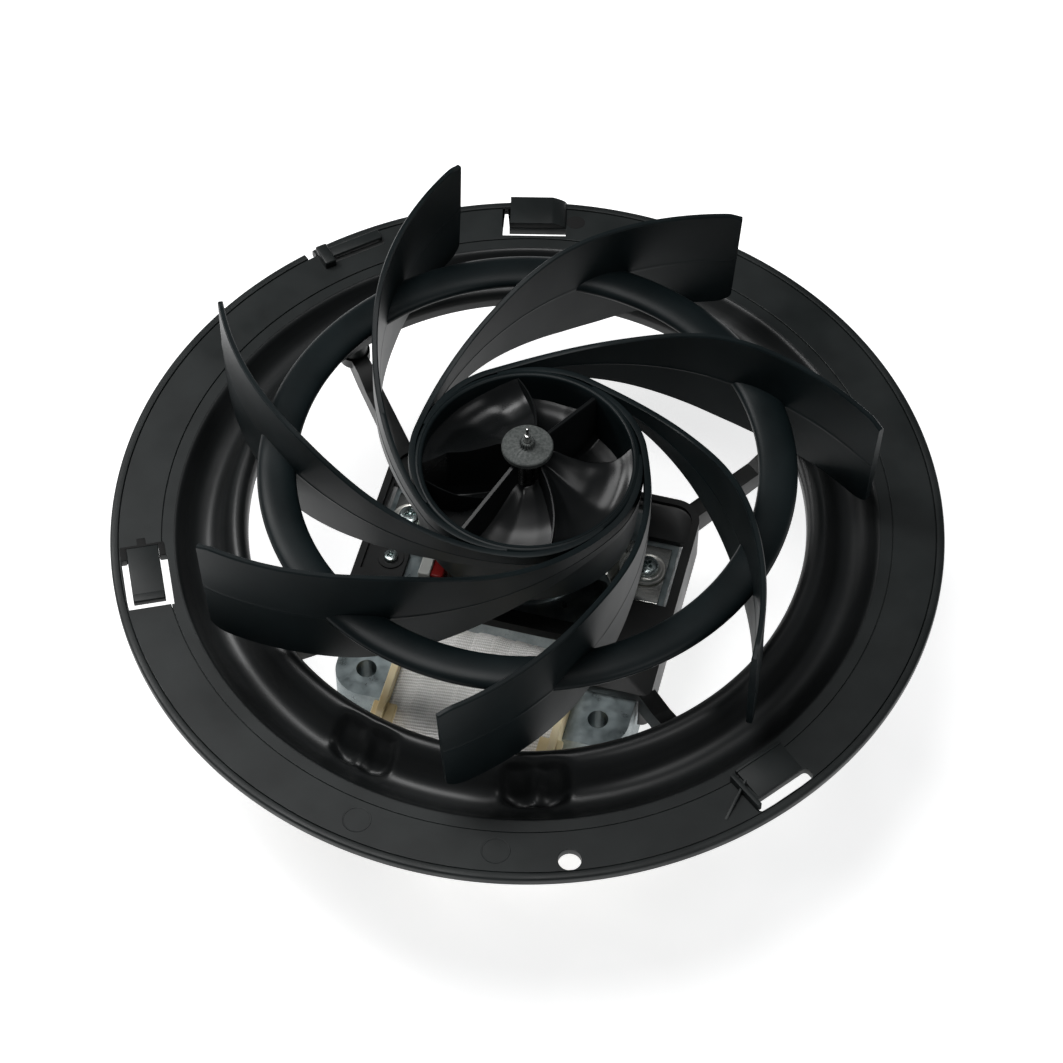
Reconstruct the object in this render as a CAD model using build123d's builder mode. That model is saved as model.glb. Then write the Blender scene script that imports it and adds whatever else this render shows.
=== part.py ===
from build123d import *
from math import atan2, cos, degrees, radians, sin, sqrt
import os

# Extractor blower: an inlet ring with a motor cradle, a shaded-pole motor and a seven-blade wheel.
# Millimetres. Z is the spin axis, z = 0 is the flat top of the ring flange, X is the long way of the motor.

# ---------------------------------------------------------------- driving sizes
flange_r = 140.0
flange_t = 3.0
rim_lip_w = 3.0
rim_lip_h = 0.8
panel_r = 122.6
panel_drop = 0.6
bend_r = 117.5
trough_r = 108.5
trough_depth = 6.4
crest_r = 97.8
crest_h = 4.2
slope_low_r = 104.4
slope_low_z = -3.6
slope_top_r = 101.2
slope_top_z = 1.0
throat_r = 93.7

boss_ring_r = 99.6
arm_boss_r = 4.6
arm_seat_z = -9.0
arm_angles = [37.7, 142.3, -44.6, -135.4]

latch_angle = -160.0
latch_turn = 5.5
latch_mid_r = 129.4
latch_len = 22.5
latch_w = 10.8
latch_gap = 2.4
latch_knuckle_r = 1.1
knuckle_fit = 0.06

scoop_angles = [-90.0 - 15.9, -90.0 + 15.9]
scoop_pitch = 9.8
scoop_mid_r = 105.5
scoop_mid_z = 0.2
scoop_ball_r = 4.6

screw_hole_r = 3.7
screw_hole_at = 133.1
screw_hole_angle = -69.7

wheel_r = 114.5
blade_count = 7
blade_pitch = 360.0 / blade_count
blade_phase = 116.4
blade_t = 2.6
blade_arc_r = 110.0
blade_top_z = 52.4
blade_low_z = 6.6
blade_root_top = 32.2
blade_root_low = 24.5
brace_mid_r = 82.4
brace_w = 12.9
brace_t = 5.6
brace_z = 29.2

hub_inner_r = 34.6
hub_wall = 2.7
hub_outer_r = hub_inner_r + hub_wall
hub_top_z = 32.2
hub_base_z = 3.0
hub_floor_t = 2.4
boss_r = 7.4
boss_top_z = 37.4
dish_edge_z = 24.0
dish_t = 2.0
cap_r = 8.55
cap_t = 2.2
cap_recess_r = 3.0
cap_recess_deep = 0.8

shaft_r = 3.0
shaft_step_r = 1.85
shaft_pip_r = 0.85
shaft_step_z = 43.0
shaft_tip_z = 48.3

stack_top_z = -20.0
stack_t = 30.0
stack_low_z = stack_top_z - stack_t
stack_half_x = 50.0
stack_back_y = 25.0
stack_front_y = -70.4
ear_r = 10.4
leg_inner_x = 30.0
leg_hole_x = 39.6
leg_hole_y = -60.0
leg_hole_r = 3.4
yoke_front_y = -28.0
bore_r = 22.5
air_gap = 0.4
rotor_r = bore_r - air_gap
core_half_y = 10.0
core_mid_y = -60.0
bobbin_wall = 1.4
bobbin_flange_t = 2.6
coil_half_y = 22.6
coil_half_z = 22.6
tape_t = 1.0
coil_half_x = leg_inner_x - bobbin_flange_t

bracket_t = 1.8
bracket_screw_x = 41.6
bracket_screw_y = 1.0
bracket_half_y = 14.5
bracket_rise = 12.6
bracket_screw_r = 2.1
bracket_head_r = 3.9
washer_r = 6.5
washer_t = 1.2
bearing_outer_r = 6.0
bearing_fit = 0.05
bearing_len = 8.0

cradle_half_x = 54.7
cradle_back_y = 31.0
cradle_front_y = -33.2
cradle_wall = 2.4
cradle_top_z = -16.0
cradle_low_z = -34.0
cradle_ledge_t = 2.4
ledge_open_x = 38.0
ledge_open_y = 26.4
rail_inner_x = 32.0
rail_front_y = -50.0
cradle_screw_x = -43.6
cradle_screw_back = 19.0
cradle_screw_front = -16.5
small_screw_r = 1.5
small_head_r = 2.45
arm_w = 6.0

os.makedirs("parts", exist_ok=True)


def polar(radius, angle):
    """A plan position from a distance off the spin axis and an angle in degrees."""
    return (radius * cos(radians(angle)), radius * sin(radians(angle)))


# ---------------------------------------------------------------- inlet ring
# The flat flange turns down into a trough and climbs to a rolled nozzle lip round the throat.


def flange_plane(radius, angle, turn=0.0):
    """A level plane on the flange top: local X runs counter-clockwise, turned inward by a small angle,
    and local Y points at the axis."""
    return Plane(
        origin=(*polar(radius, angle), 0),
        x_dir=(-sin(radians(angle + turn)), cos(radians(angle + turn)), 0),
        z_dir=(0, 0, 1),
    )


latch_plane = flange_plane(latch_mid_r, latch_angle, latch_turn)
knuckle_axis = latch_plane.offset(-latch_knuckle_r)
hook_plane = flange_plane(124.0, 103.5)
stop_plane = flange_plane(131.2, 131.8)
ramp_plane = flange_plane(126.0, -38.2)

with BuildPart() as inlet_ring:
    with BuildSketch(Plane.XZ):
        with BuildLine():
            Polyline(
                (bend_r, -panel_drop),
                (panel_r, -panel_drop),
                (panel_r, 0),
                (flange_r - rim_lip_w, 0),
                (flange_r - rim_lip_w, rim_lip_h),
                (flange_r, rim_lip_h),
                (flange_r, -flange_t),
                (bend_r, -flange_t),
            )
            # Underside: trough, slope, and the short skirt of the nozzle.
            ThreePointArc(
                (bend_r, -flange_t),
                (trough_r + 0.6, -trough_depth - 2.5),
                (slope_low_r - 1.8, slope_low_z - 1.6),
            )
            Line((slope_low_r - 1.8, slope_low_z - 1.6), (slope_top_r - 1.9, slope_top_z - 1.6))
            ThreePointArc(
                (slope_top_r - 1.9, slope_top_z - 1.6),
                (crest_r - 0.2, crest_h - 2.8),
                (throat_r + 2.4, -0.4),
            )
            Polyline((throat_r + 2.4, -0.4), (throat_r + 2.4, -2.6), (throat_r, -2.6), (throat_r, 0.6))
            # Upper side, back out to the flange.
            ThreePointArc((throat_r, 0.6), (crest_r - 0.6, crest_h - 0.1), (slope_top_r, slope_top_z))
            Line((slope_top_r, slope_top_z), (slope_low_r, slope_low_z))
            ThreePointArc((slope_low_r, slope_low_z), (trough_r + 1.1, -trough_depth), (bend_r, -panel_drop))
        make_face()
    revolve(axis=Axis.Z)
    # Screw bosses for the cradle arms, hanging under the lip.
    with BuildSketch(Plane.XY.offset(arm_seat_z)):
        for angle in arm_angles:
            with Locations(polar(boss_ring_r, angle)):
                Circle(arm_boss_r)
    extrude(amount=-arm_seat_z + 0.2)
    for angle in arm_angles:
        with Locations(Pos(*polar(boss_ring_r, angle), arm_seat_z)):
            Cylinder(1.5, 7.0, align=(Align.CENTER, Align.CENTER, Align.MIN), mode=Mode.SUBTRACT)
    # Window round the release latch, open on three sides and round-bottomed at the hinge end.
    with BuildSketch(latch_plane.offset(-flange_t - 1)):
        with Locations(((latch_len + latch_gap) / 2, 0)):
            Rectangle(latch_len + latch_gap, latch_w + 2 * latch_gap)
    extrude(amount=flange_t + 3, mode=Mode.SUBTRACT)
    # Two cheeks close the window down to the width of the latch knuckle.
    with BuildSketch(latch_plane.offset(-flange_t)):
        for side in (-1, 1):
            with Locations((2.4, side * (latch_w / 2 + 0.15 + latch_gap / 2))):
                Rectangle(5.0, latch_gap + 0.3)
    extrude(amount=flange_t)
    with Locations(knuckle_axis.location * Rot(90, 0, 0)):
        Cylinder(latch_knuckle_r + knuckle_fit, latch_w + 0.3, mode=Mode.SUBTRACT)
    # Hooked tab: an L-shaped slot and a raised tongue over the rim.
    with BuildSketch(hook_plane.offset(-flange_t - 1)):
        with Locations((0.0, -1.4)):
            Rectangle(22.6, 3.0)
        with Locations((10.1, -5.6)):
            Rectangle(2.4, 14.0)
    extrude(amount=flange_t + 3, mode=Mode.SUBTRACT)
    with BuildSketch(hook_plane.offset(-0.2)):
        with Locations((-1.4, -9.2)):
            Rectangle(20.4, 12.6)
    extrude(amount=3.4)
    with BuildSketch(hook_plane.offset(-flange_t - 1)):
        with Locations((-14.6, -6.6)):
            Rectangle(5.0, 6.2)
    extrude(amount=flange_t - 0.4, mode=Mode.SUBTRACT)
    # Stop tab: a thin slot beside a raised lip, with an end block and a notch in the rim.
    with BuildSketch(stop_plane.offset(-flange_t - 1)):
        SlotOverall(20.0, 1.4)
    extrude(amount=flange_t + 3, mode=Mode.SUBTRACT)
    with BuildSketch(stop_plane.offset(-0.2)):
        with Locations((0, -4.4)):
            Rectangle(19.0, 7.0)
    extrude(amount=1.6)
    with BuildSketch(stop_plane.offset(-0.2)):
        with Locations((12.2, -2.8)):
            Rectangle(4.2, 10.0)
    extrude(amount=3.4)
    with BuildSketch(stop_plane.offset(-flange_t - 1)):
        with Locations((16.4, -8.0)):
            Rectangle(3.2, 5.0)
    extrude(amount=flange_t + 3, mode=Mode.SUBTRACT)
    # Ramp tab: a round-ended slot, a raised pad inside it and a short wall with a rib.
    with BuildSketch(ramp_plane.offset(-flange_t - 1)):
        with Locations((0, -8.4)):
            SlotOverall(22.0, 4.4)
    extrude(amount=flange_t + 3, mode=Mode.SUBTRACT)
    with BuildSketch(ramp_plane.offset(-0.2)):
        with Locations((1.0, 0)):
            Rectangle(18.0, 10.6)
    extrude(amount=1.4)
    with BuildSketch(ramp_plane.offset(-0.2)):
        with Locations((-13.4, -3.0)):
            Rectangle(2.4, 11.0)
        with Locations((-10.6, 1.0)):
            Rectangle(5.0, 2.4)
    extrude(amount=3.6)
    # Screw hole through the flange and two shallow moulding recesses.
    with Locations(Pos(*polar(screw_hole_at, screw_hole_angle), 0)):
        Cylinder(screw_hole_r, 4 * flange_t, mode=Mode.SUBTRACT)
    for angle in (-99.9, -79.8):
        with Locations(Pos(*polar(129.6, angle), 0)):
            Cylinder(5.0, 0.6, mode=Mode.SUBTRACT)
    # Two pairs of scooped dents in the inner slope, either side of the front of the motor.
    for angle in scoop_angles:
        for side in (-scoop_pitch / 2, scoop_pitch / 2):
            with Locations(Pos(*polar(scoop_mid_r, angle + side), scoop_mid_z)):
                Sphere(scoop_ball_r, mode=Mode.SUBTRACT)
inlet_ring.part.label = "inlet_ring"
export_step(inlet_ring.part, "parts/inlet_ring.step")

# ---------------------------------------------------------------- release latch
# Sprung tongue in the flange, turning on a round knuckle along its back end.
with BuildPart() as release_latch:
    with BuildSketch(latch_plane.offset(-2 * latch_knuckle_r)):
        with Locations((latch_len / 2 + 0.2, 0)):
            Rectangle(latch_len - 0.4, latch_w)
    extrude(amount=2 * latch_knuckle_r)
    with Locations(knuckle_axis.location * Rot(90, 0, 0)):
        Cylinder(latch_knuckle_r, latch_w)
    with BuildSketch(latch_plane.offset(-0.1)):
        with Locations((latch_len - 2.4, 0)):
            Rectangle(2.4, latch_w)
    extrude(amount=1.1)
release_latch.part.label = "release_latch"
export_step(release_latch.part, "parts/release_latch.step")

# ---------------------------------------------------------------- motor cradle
# Shallow tray over the top of the motor, carried from four arms that screw up into the ring bosses.
foot_x = bracket_screw_x + 1.4
with BuildPart() as motor_cradle:
    with BuildSketch(Plane.XY.offset(cradle_low_z)):
        with Locations((0, (cradle_back_y + cradle_front_y) / 2)):
            RectangleRounded(2 * cradle_half_x, cradle_back_y - cradle_front_y, 9)
            RectangleRounded(
                2 * (cradle_half_x - cradle_wall),
                cradle_back_y - cradle_front_y - 2 * cradle_wall,
                7,
                mode=Mode.SUBTRACT,
            )
    extrude(amount=cradle_top_z - cradle_low_z)
    # Ledge that rests on the core, cut away over the rotor and round the bracket feet.
    with BuildSketch(Plane.XY.offset(stack_top_z)):
        with Locations((0, (cradle_back_y + cradle_front_y) / 2)):
            RectangleRounded(2 * cradle_half_x - 2, cradle_back_y - cradle_front_y - 2, 8)
        RectangleRounded(2 * ledge_open_x, 2 * ledge_open_y, 4, mode=Mode.SUBTRACT)
        for side in (-1, 1):
            with Locations((side * (foot_x - 1), bracket_screw_y)):
                Rectangle(18.4, 2 * bracket_half_y - 2, mode=Mode.SUBTRACT)
    extrude(amount=cradle_ledge_t)
    # Opening in the front wall where the legs of the core come through.
    with BuildSketch(Plane.XY.offset(cradle_low_z - 1)):
        with Locations((0, -40)):
            Rectangle(2 * stack_half_x + 1.2, 40)
    extrude(amount=stack_top_z - cradle_low_z + 1, mode=Mode.SUBTRACT)
    # Side rails that carry on over the legs of the core, each with an outer wall.
    rail_back_y = cradle_front_y + 9.5
    rail_mid_y = (rail_front_y + rail_back_y) / 2
    rail_wall_x = stack_half_x + 0.8
    for side in (-1, 1):
        with BuildSketch(Plane.XY.offset(stack_top_z)):
            with Locations((side * (rail_inner_x + cradle_half_x) / 2, rail_mid_y)):
                Rectangle(cradle_half_x - rail_inner_x, rail_back_y - rail_front_y)
        extrude(amount=cradle_top_z - stack_top_z)
        with BuildSketch(Plane.XY.offset(cradle_low_z)):
            with Locations((side * (cradle_half_x + rail_wall_x) / 2, rail_mid_y)):
                Rectangle(cradle_half_x - rail_wall_x, rail_back_y - rail_front_y)
        extrude(amount=cradle_top_z - cradle_low_z)
    rail_corners = motor_cradle.edges().filter_by(Axis.Z).filter_by(
        lambda e: abs(e.center().Y - rail_front_y) < 0.2 and abs(e.center().X) > cradle_half_x - 0.2
    )
    fillet(rail_corners, 3.2)
    # Bosses for the small screws.
    with BuildSketch(Plane.XY.offset(stack_top_z)):
        for y in (cradle_screw_front, cradle_screw_back):
            with Locations((cradle_screw_x, y)):
                Circle(4.4)
    extrude(amount=3.0)
    with BuildSketch(Plane.XY.offset(stack_top_z - 1)):
        for y in (cradle_screw_front, cradle_screw_back):
            with Locations((cradle_screw_x, y)):
                Circle(small_screw_r)
    extrude(amount=6.0, mode=Mode.SUBTRACT)
    # Arms: a flat bar from each corner, rising to a foot under its ring boss.
    for angle in arm_angles:
        side = 1 if cos(radians(angle)) > 0 else -1
        back = angle > 0
        start = (side * 49.6, 25.6) if back else (side * 51.8, rail_front_y + 3.6)
        end = polar(boss_ring_r, angle)
        run = sqrt((end[0] - start[0]) ** 2 + (end[1] - start[1]) ** 2)
        heading = degrees(atan2(end[1] - start[1], end[0] - start[0]))
        turn = Plane(
            origin=(start[0], start[1], 0),
            x_dir=(cos(radians(heading)), sin(radians(heading)), 0),
            z_dir=(sin(radians(heading)), -cos(radians(heading)), 0),
        )
        with BuildSketch(turn.offset(-arm_w / 2)):
            Polygon(
                (2.2, cradle_top_z - 0.4),
                (2.2, cradle_top_z - 9.6),
                (run - 9, arm_seat_z - 9.0),
                (run, arm_seat_z - 5.6),
                (run, arm_seat_z),
                (run - 10, arm_seat_z),
                (run - 17, cradle_top_z + 3.4),
                align=None,
            )
        extrude(amount=arm_w)
    with BuildSketch(Plane.XY.offset(arm_seat_z - 4.0)):
        for angle in arm_angles:
            with Locations(polar(boss_ring_r, angle)):
                Circle(arm_boss_r + 0.8)
    extrude(amount=4.0)
    for angle in arm_angles:
        with Locations(Pos(*polar(boss_ring_r, angle), arm_seat_z - 4.0)):
            Cylinder(3.4, 12, align=(Align.CENTER, Align.CENTER, Align.MAX), mode=Mode.SUBTRACT)
            Cylinder(1.8, 12, mode=Mode.SUBTRACT)
motor_cradle.part.label = "motor_cradle"
export_step(motor_cradle.part, "parts/motor_cradle.step")

with BuildPart() as arm_screws:
    for angle in arm_angles:
        with Locations(Pos(*polar(boss_ring_r, angle), arm_seat_z - 4.0)):
            Cylinder(3.2, 2.0, align=(Align.CENTER, Align.CENTER, Align.MAX))
            Cylinder(1.5, 10.6, align=(Align.CENTER, Align.CENTER, Align.MIN))
arm_screws.part.label = "arm_screws"
export_step(arm_screws.part, "parts/arm_screws.step")

with BuildPart() as cradle_screws:
    for y in (cradle_screw_front, cradle_screw_back):
        with Locations(Pos(cradle_screw_x, y, stack_top_z + 3.0)):
            Cylinder(small_head_r, 1.7, align=(Align.CENTER, Align.CENTER, Align.MIN))
            Cylinder(small_screw_r, 11.0, align=(Align.CENTER, Align.CENTER, Align.MAX))
cradle_screws.part.label = "cradle_screws"
export_step(cradle_screws.part, "parts/cradle_screws.step")

# ---------------------------------------------------------------- motor core
# Laminated C: a yoke round the rotor bore and two legs that the core bar bridges.
with BuildPart() as stator_core:
    with BuildSketch(Plane.XY.offset(stack_low_z)):
        with BuildLine():
            Polyline(
                (-leg_inner_x, stack_front_y),
                (-stack_half_x, stack_front_y),
                (-stack_half_x, stack_back_y - 6),
                (-stack_half_x + 6, stack_back_y),
                (stack_half_x - 6, stack_back_y),
                (stack_half_x, stack_back_y - 6),
                (stack_half_x, stack_front_y),
                (leg_inner_x, stack_front_y),
                (leg_inner_x, yoke_front_y),
                (-leg_inner_x, yoke_front_y),
                close=True,
            )
        make_face()
        Circle(bore_r, mode=Mode.SUBTRACT)
        with Locations((-leg_hole_x, leg_hole_y), (leg_hole_x, leg_hole_y)):
            Circle(leg_hole_r, mode=Mode.SUBTRACT)
        with Locations((-bracket_screw_x, bracket_screw_y), (bracket_screw_x, bracket_screw_y)):
            Circle(bracket_screw_r, mode=Mode.SUBTRACT)
        with Locations((cradle_screw_x, cradle_screw_front), (cradle_screw_x, cradle_screw_back)):
            Circle(small_screw_r, mode=Mode.SUBTRACT)
        # Slots for the shading rings, one pair in each pole.
        for angle in (30, 210):
            with Locations(Location((*polar(bore_r + 1.6, angle), 0), (0, 0, angle))):
                Rectangle(5.4, 2.2, mode=Mode.SUBTRACT)
            with Locations(Location((*polar(bore_r + 1.6, angle + 34), 0), (0, 0, angle + 34))):
                Rectangle(5.4, 2.2, mode=Mode.SUBTRACT)
    extrude(amount=stack_t)
    ear_edges = stator_core.edges().filter_by(Axis.Z).filter_by(
        lambda e: abs(e.center().Y - stack_front_y) < 0.5 and abs(e.center().X) > stack_half_x - 0.5
    )
    fillet(ear_edges, ear_r)
stator_core.part.label = "stator_core"
export_step(stator_core.part, "parts/stator_core.step")

with BuildPart() as core_bar:
    with BuildSketch(Plane.XY.offset(stack_low_z)):
        with Locations((0, core_mid_y)):
            Rectangle(2 * leg_inner_x, 2 * core_half_y)
    extrude(amount=stack_t)
core_bar.part.label = "core_bar"
export_step(core_bar.part, "parts/core_bar.step")

# Shading rings: copper loops lying in the pole slots and standing clear of both ends of the core.
with BuildPart() as shading_rings:
    for angle in (30, 210):
        for leg in (0, 34):
            with BuildSketch(Plane.XY.offset(stack_low_z - 2.4)):
                with Locations(Location((*polar(bore_r + 2.3, angle + leg), 0), (0, 0, angle + leg))):
                    Rectangle(3.8, 2.2)
            extrude(amount=stack_t + 4.8)
        first = polar(bore_r + 2.3, angle)
        second = polar(bore_r + 2.3, angle + 34)
        middle = ((first[0] + second[0]) / 2, (first[1] + second[1]) / 2)
        span = sqrt((first[0] - second[0]) ** 2 + (first[1] - second[1]) ** 2)
        for level in (stack_low_z - 2.4, stack_top_z + 0.2):
            with BuildSketch(Plane.XY.offset(level)):
                with Locations(Location((*middle, 0), (0, 0, angle + 17))):
                    Rectangle(3.4, span + 1.6)
            extrude(amount=2.2)
shading_rings.part.label = "shading_rings"
export_step(shading_rings.part, "parts/shading_rings.step")

# ---------------------------------------------------------------- coil
# Bobbin on the core bar with a winding and an outer wrap of woven tape.
coil_mid_z = (stack_top_z + stack_low_z) / 2
coil_plane = Plane.YZ
tube_half_y = core_half_y + bobbin_wall
tube_half_z = stack_t / 2 + bobbin_wall
with BuildPart() as bobbin:
    with BuildSketch(coil_plane.offset(-coil_half_x)):
        with Locations((core_mid_y, coil_mid_z)):
            Rectangle(2 * tube_half_y, 2 * tube_half_z)
    extrude(amount=2 * coil_half_x)
    for start in (-leg_inner_x, coil_half_x):
        with BuildSketch(coil_plane.offset(start)):
            with Locations((core_mid_y, coil_mid_z)):
                RectangleRounded(2 * coil_half_y + 5.4, 2 * coil_half_z + 5.4, 5)
        extrude(amount=bobbin_flange_t)
    with BuildSketch(coil_plane.offset(-leg_inner_x - 1)):
        with Locations((core_mid_y, coil_mid_z)):
            Rectangle(2 * core_half_y, stack_t)
    extrude(amount=2 * leg_inner_x + 2, mode=Mode.SUBTRACT)
    # Two pegs on the front edge of each flange.
    for side in (-1, 1):
        with Locations(Pos(side * (coil_half_x + 1.3), core_mid_y - coil_half_y - 2.4, coil_mid_z + 15)):
            Box(2.6, 5.4, 6.0)
        with Locations(Pos(side * (coil_half_x - 0.6), core_mid_y - coil_half_y - 4.2, coil_mid_z + 15)):
            Box(6.4, 1.8, 6.0)
bobbin.part.label = "bobbin"
export_step(bobbin.part, "parts/bobbin.step")

with BuildPart() as coil_winding:
    with BuildSketch(coil_plane.offset(-coil_half_x)):
        with Locations((core_mid_y, coil_mid_z)):
            RectangleRounded(2 * (coil_half_y - tape_t), 2 * (coil_half_z - tape_t), 7)
            Rectangle(2 * tube_half_y, 2 * tube_half_z, mode=Mode.SUBTRACT)
    extrude(amount=2 * coil_half_x)
coil_winding.part.label = "coil_winding"
export_step(coil_winding.part, "parts/coil_winding.step")

with BuildPart() as coil_tape:
    with BuildSketch(coil_plane.offset(-coil_half_x)):
        with Locations((core_mid_y, coil_mid_z)):
            RectangleRounded(2 * coil_half_y, 2 * coil_half_z, 8)
            RectangleRounded(2 * (coil_half_y - tape_t), 2 * (coil_half_z - tape_t), 7, mode=Mode.SUBTRACT)
    extrude(amount=2 * coil_half_x)
coil_tape.part.label = "coil_tape"
export_step(coil_tape.part, "parts/coil_tape.step")

# Two flat terminals standing on the back corner of the right-hand bobbin flange.
with BuildPart() as winding_terminals:
    for y in (core_mid_y + 13, core_mid_y + 3):
        with Locations(Pos(coil_half_x + 1.3, y, coil_mid_z + coil_half_z + 2.7)):
            Box(0.8, 4.8, 6.5, align=(Align.CENTER, Align.CENTER, Align.MIN))
winding_terminals.part.label = "winding_terminals"
export_step(winding_terminals.part, "parts/winding_terminals.step")

# Thermal cut-out beside its grey holder, on top of the core.
with BuildPart() as cutout_holder:
    with Locations(Pos(-29.6, -20.0, stack_top_z)):
        Box(4.0, 10.0, 10.0, align=(Align.CENTER, Align.CENTER, Align.MIN))
    with Locations(Pos(-25.6, -20.0, stack_top_z)):
        Box(6.0, 10.0, 2.0, align=(Align.CENTER, Align.CENTER, Align.MIN))
cutout_holder.part.label = "cutout_holder"
export_step(cutout_holder.part, "parts/cutout_holder.step")

with BuildPart() as thermal_cutout:
    with Locations(Pos(-25.4, -20.6, stack_top_z + 2.0)):
        Box(4.4, 7.4, 7.0, align=(Align.CENTER, Align.CENTER, Align.MIN))
thermal_cutout.part.label = "thermal_cutout"
export_step(thermal_cutout.part, "parts/thermal_cutout.step")

# ---------------------------------------------------------------- bearing brackets
# One formed strap above the core and its mirror below; each cups a plain bearing and a felt ring.
bridge_half_x = 30.6
upper_bridge_z = stack_top_z + bracket_rise
cup_r = bearing_outer_r + 3.0
cup_h = 5.2


def strap_outline(seat_z, way):
    """Side outline of a bracket: feet on the core, sloping risers and a level bridge."""
    t = bracket_t
    rise = bracket_rise
    return [
        (-48.0, seat_z),
        (-48.0, seat_z + way * t),
        (-34.4, seat_z + way * t),
        (-bridge_half_x, seat_z + way * (rise + t)),
        (bridge_half_x, seat_z + way * (rise + t)),
        (34.4, seat_z + way * t),
        (48.0, seat_z + way * t),
        (48.0, seat_z),
        (32.8, seat_z),
        (bridge_half_x - 1.4, seat_z + way * rise),
        (-bridge_half_x + 1.4, seat_z + way * rise),
        (-32.8, seat_z),
    ]


with BuildPart() as upper_bracket:
    with BuildSketch(Plane.XZ.offset(-bracket_half_y + 3)):
        Polygon(*strap_outline(stack_top_z, 1), align=None)
    extrude(amount=2 * bracket_half_y - 6)
    with Locations(Pos(0, 0, upper_bridge_z)):
        Cylinder(cup_r + 7, bracket_t, align=(Align.CENTER, Align.CENTER, Align.MIN))
        Cylinder(cup_r, cup_h, align=(Align.CENTER, Align.CENTER, Align.MAX))
        Cylinder(cup_r, cup_h - 1.4, align=(Align.CENTER, Align.CENTER, Align.MIN))
    with Locations(Pos(0, 0, upper_bridge_z)):
        Cylinder(bearing_outer_r, 40, mode=Mode.SUBTRACT)
    for x in (-bracket_screw_x, bracket_screw_x):
        with Locations(Pos(x, bracket_screw_y, stack_top_z)):
            Cylinder(bracket_screw_r, 8, mode=Mode.SUBTRACT)
upper_bracket.part.label = "upper_bracket"
export_step(upper_bracket.part, "parts/upper_bracket.step")

lower_bridge_z = stack_low_z - bracket_rise
with BuildPart() as lower_bracket:
    with BuildSketch(Plane.XZ.offset(-bracket_half_y + 3)):
        Polygon(*strap_outline(stack_low_z, -1), align=None)
    extrude(amount=2 * bracket_half_y - 6)
    with Locations(Pos(0, 0, lower_bridge_z)):
        Cylinder(cup_r + 7, bracket_t, align=(Align.CENTER, Align.CENTER, Align.MAX))
        Cylinder(cup_r, cup_h, align=(Align.CENTER, Align.CENTER, Align.MIN))
        Cylinder(cup_r, cup_h - 1.4, align=(Align.CENTER, Align.CENTER, Align.MAX))
    with Locations(Pos(0, 0, lower_bridge_z)):
        Cylinder(bearing_outer_r, 40, mode=Mode.SUBTRACT)
    for x in (-bracket_screw_x, bracket_screw_x):
        with Locations(Pos(x, bracket_screw_y, stack_low_z)):
            Cylinder(bracket_screw_r, 8, mode=Mode.SUBTRACT)
lower_bracket.part.label = "lower_bracket"
export_step(lower_bracket.part, "parts/lower_bracket.step")

# Plain bearings pressed in the cups, with the shaft running in them.
with BuildPart() as upper_bearing:
    with Locations(Pos(0, 0, upper_bridge_z - cup_h + 0.6)):
        Cylinder(bearing_outer_r, bearing_len, align=(Align.CENTER, Align.CENTER, Align.MIN))
        Cylinder(shaft_r + bearing_fit, 40, mode=Mode.SUBTRACT)
upper_bearing.part.label = "upper_bearing"
export_step(upper_bearing.part, "parts/upper_bearing.step")

with BuildPart() as lower_bearing:
    with Locations(Pos(0, 0, lower_bridge_z + cup_h - 0.6)):
        Cylinder(bearing_outer_r, bearing_len, align=(Align.CENTER, Align.CENTER, Align.MAX))
        Cylinder(shaft_r + bearing_fit, 40, mode=Mode.SUBTRACT)
lower_bearing.part.label = "lower_bearing"
export_step(lower_bearing.part, "parts/lower_bearing.step")

# Oil-soaked felt rings on the outer ends of the cups.
with BuildPart() as felt_rings:
    with Locations(Pos(0, 0, upper_bridge_z + cup_h - 1.4)):
        Cylinder(cup_r - 0.6, 1.2, align=(Align.CENTER, Align.CENTER, Align.MIN))
    with Locations(Pos(0, 0, lower_bridge_z - cup_h + 1.4)):
        Cylinder(cup_r - 0.6, 1.2, align=(Align.CENTER, Align.CENTER, Align.MAX))
    Cylinder(shaft_r + 0.4, 200, mode=Mode.SUBTRACT)
felt_rings.part.label = "felt_rings"
export_step(felt_rings.part, "parts/felt_rings.step")

# Through screws, wide washers and nuts that clamp both brackets to the core.
screw_top_z = stack_top_z + bracket_t + washer_t
screw_low_z = stack_low_z - bracket_t
with BuildPart() as bracket_washers:
    for x in (-bracket_screw_x, bracket_screw_x):
        with Locations(Pos(x, bracket_screw_y, stack_top_z + bracket_t)):
            Cylinder(washer_r, washer_t, align=(Align.CENTER, Align.CENTER, Align.MIN))
            Cylinder(bracket_screw_r, 8, mode=Mode.SUBTRACT)
bracket_washers.part.label = "bracket_washers"
export_step(bracket_washers.part, "parts/bracket_washers.step")

with BuildPart() as bracket_screws:
    for x in (-bracket_screw_x, bracket_screw_x):
        with Locations(Pos(x, bracket_screw_y, screw_top_z)):
            Cylinder(bracket_head_r, 2.6, align=(Align.CENTER, Align.CENTER, Align.MIN))
        with Locations(Pos(x, bracket_screw_y, screw_low_z - 5)):
            Cylinder(
                bracket_screw_r,
                screw_top_z - screw_low_z + 5.2,
                align=(Align.CENTER, Align.CENTER, Align.MIN),
            )
bracket_screws.part.label = "bracket_screws"
export_step(bracket_screws.part, "parts/bracket_screws.step")

with BuildPart() as bracket_nuts:
    with BuildSketch(Plane.XY.offset(screw_low_z - 3.2)):
        with Locations((-bracket_screw_x, bracket_screw_y), (bracket_screw_x, bracket_screw_y)):
            RegularPolygon(4.0, 6)
            Circle(bracket_screw_r, mode=Mode.SUBTRACT)
    extrude(amount=3.2)
bracket_nuts.part.label = "bracket_nuts"
export_step(bracket_nuts.part, "parts/bracket_nuts.step")

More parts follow.
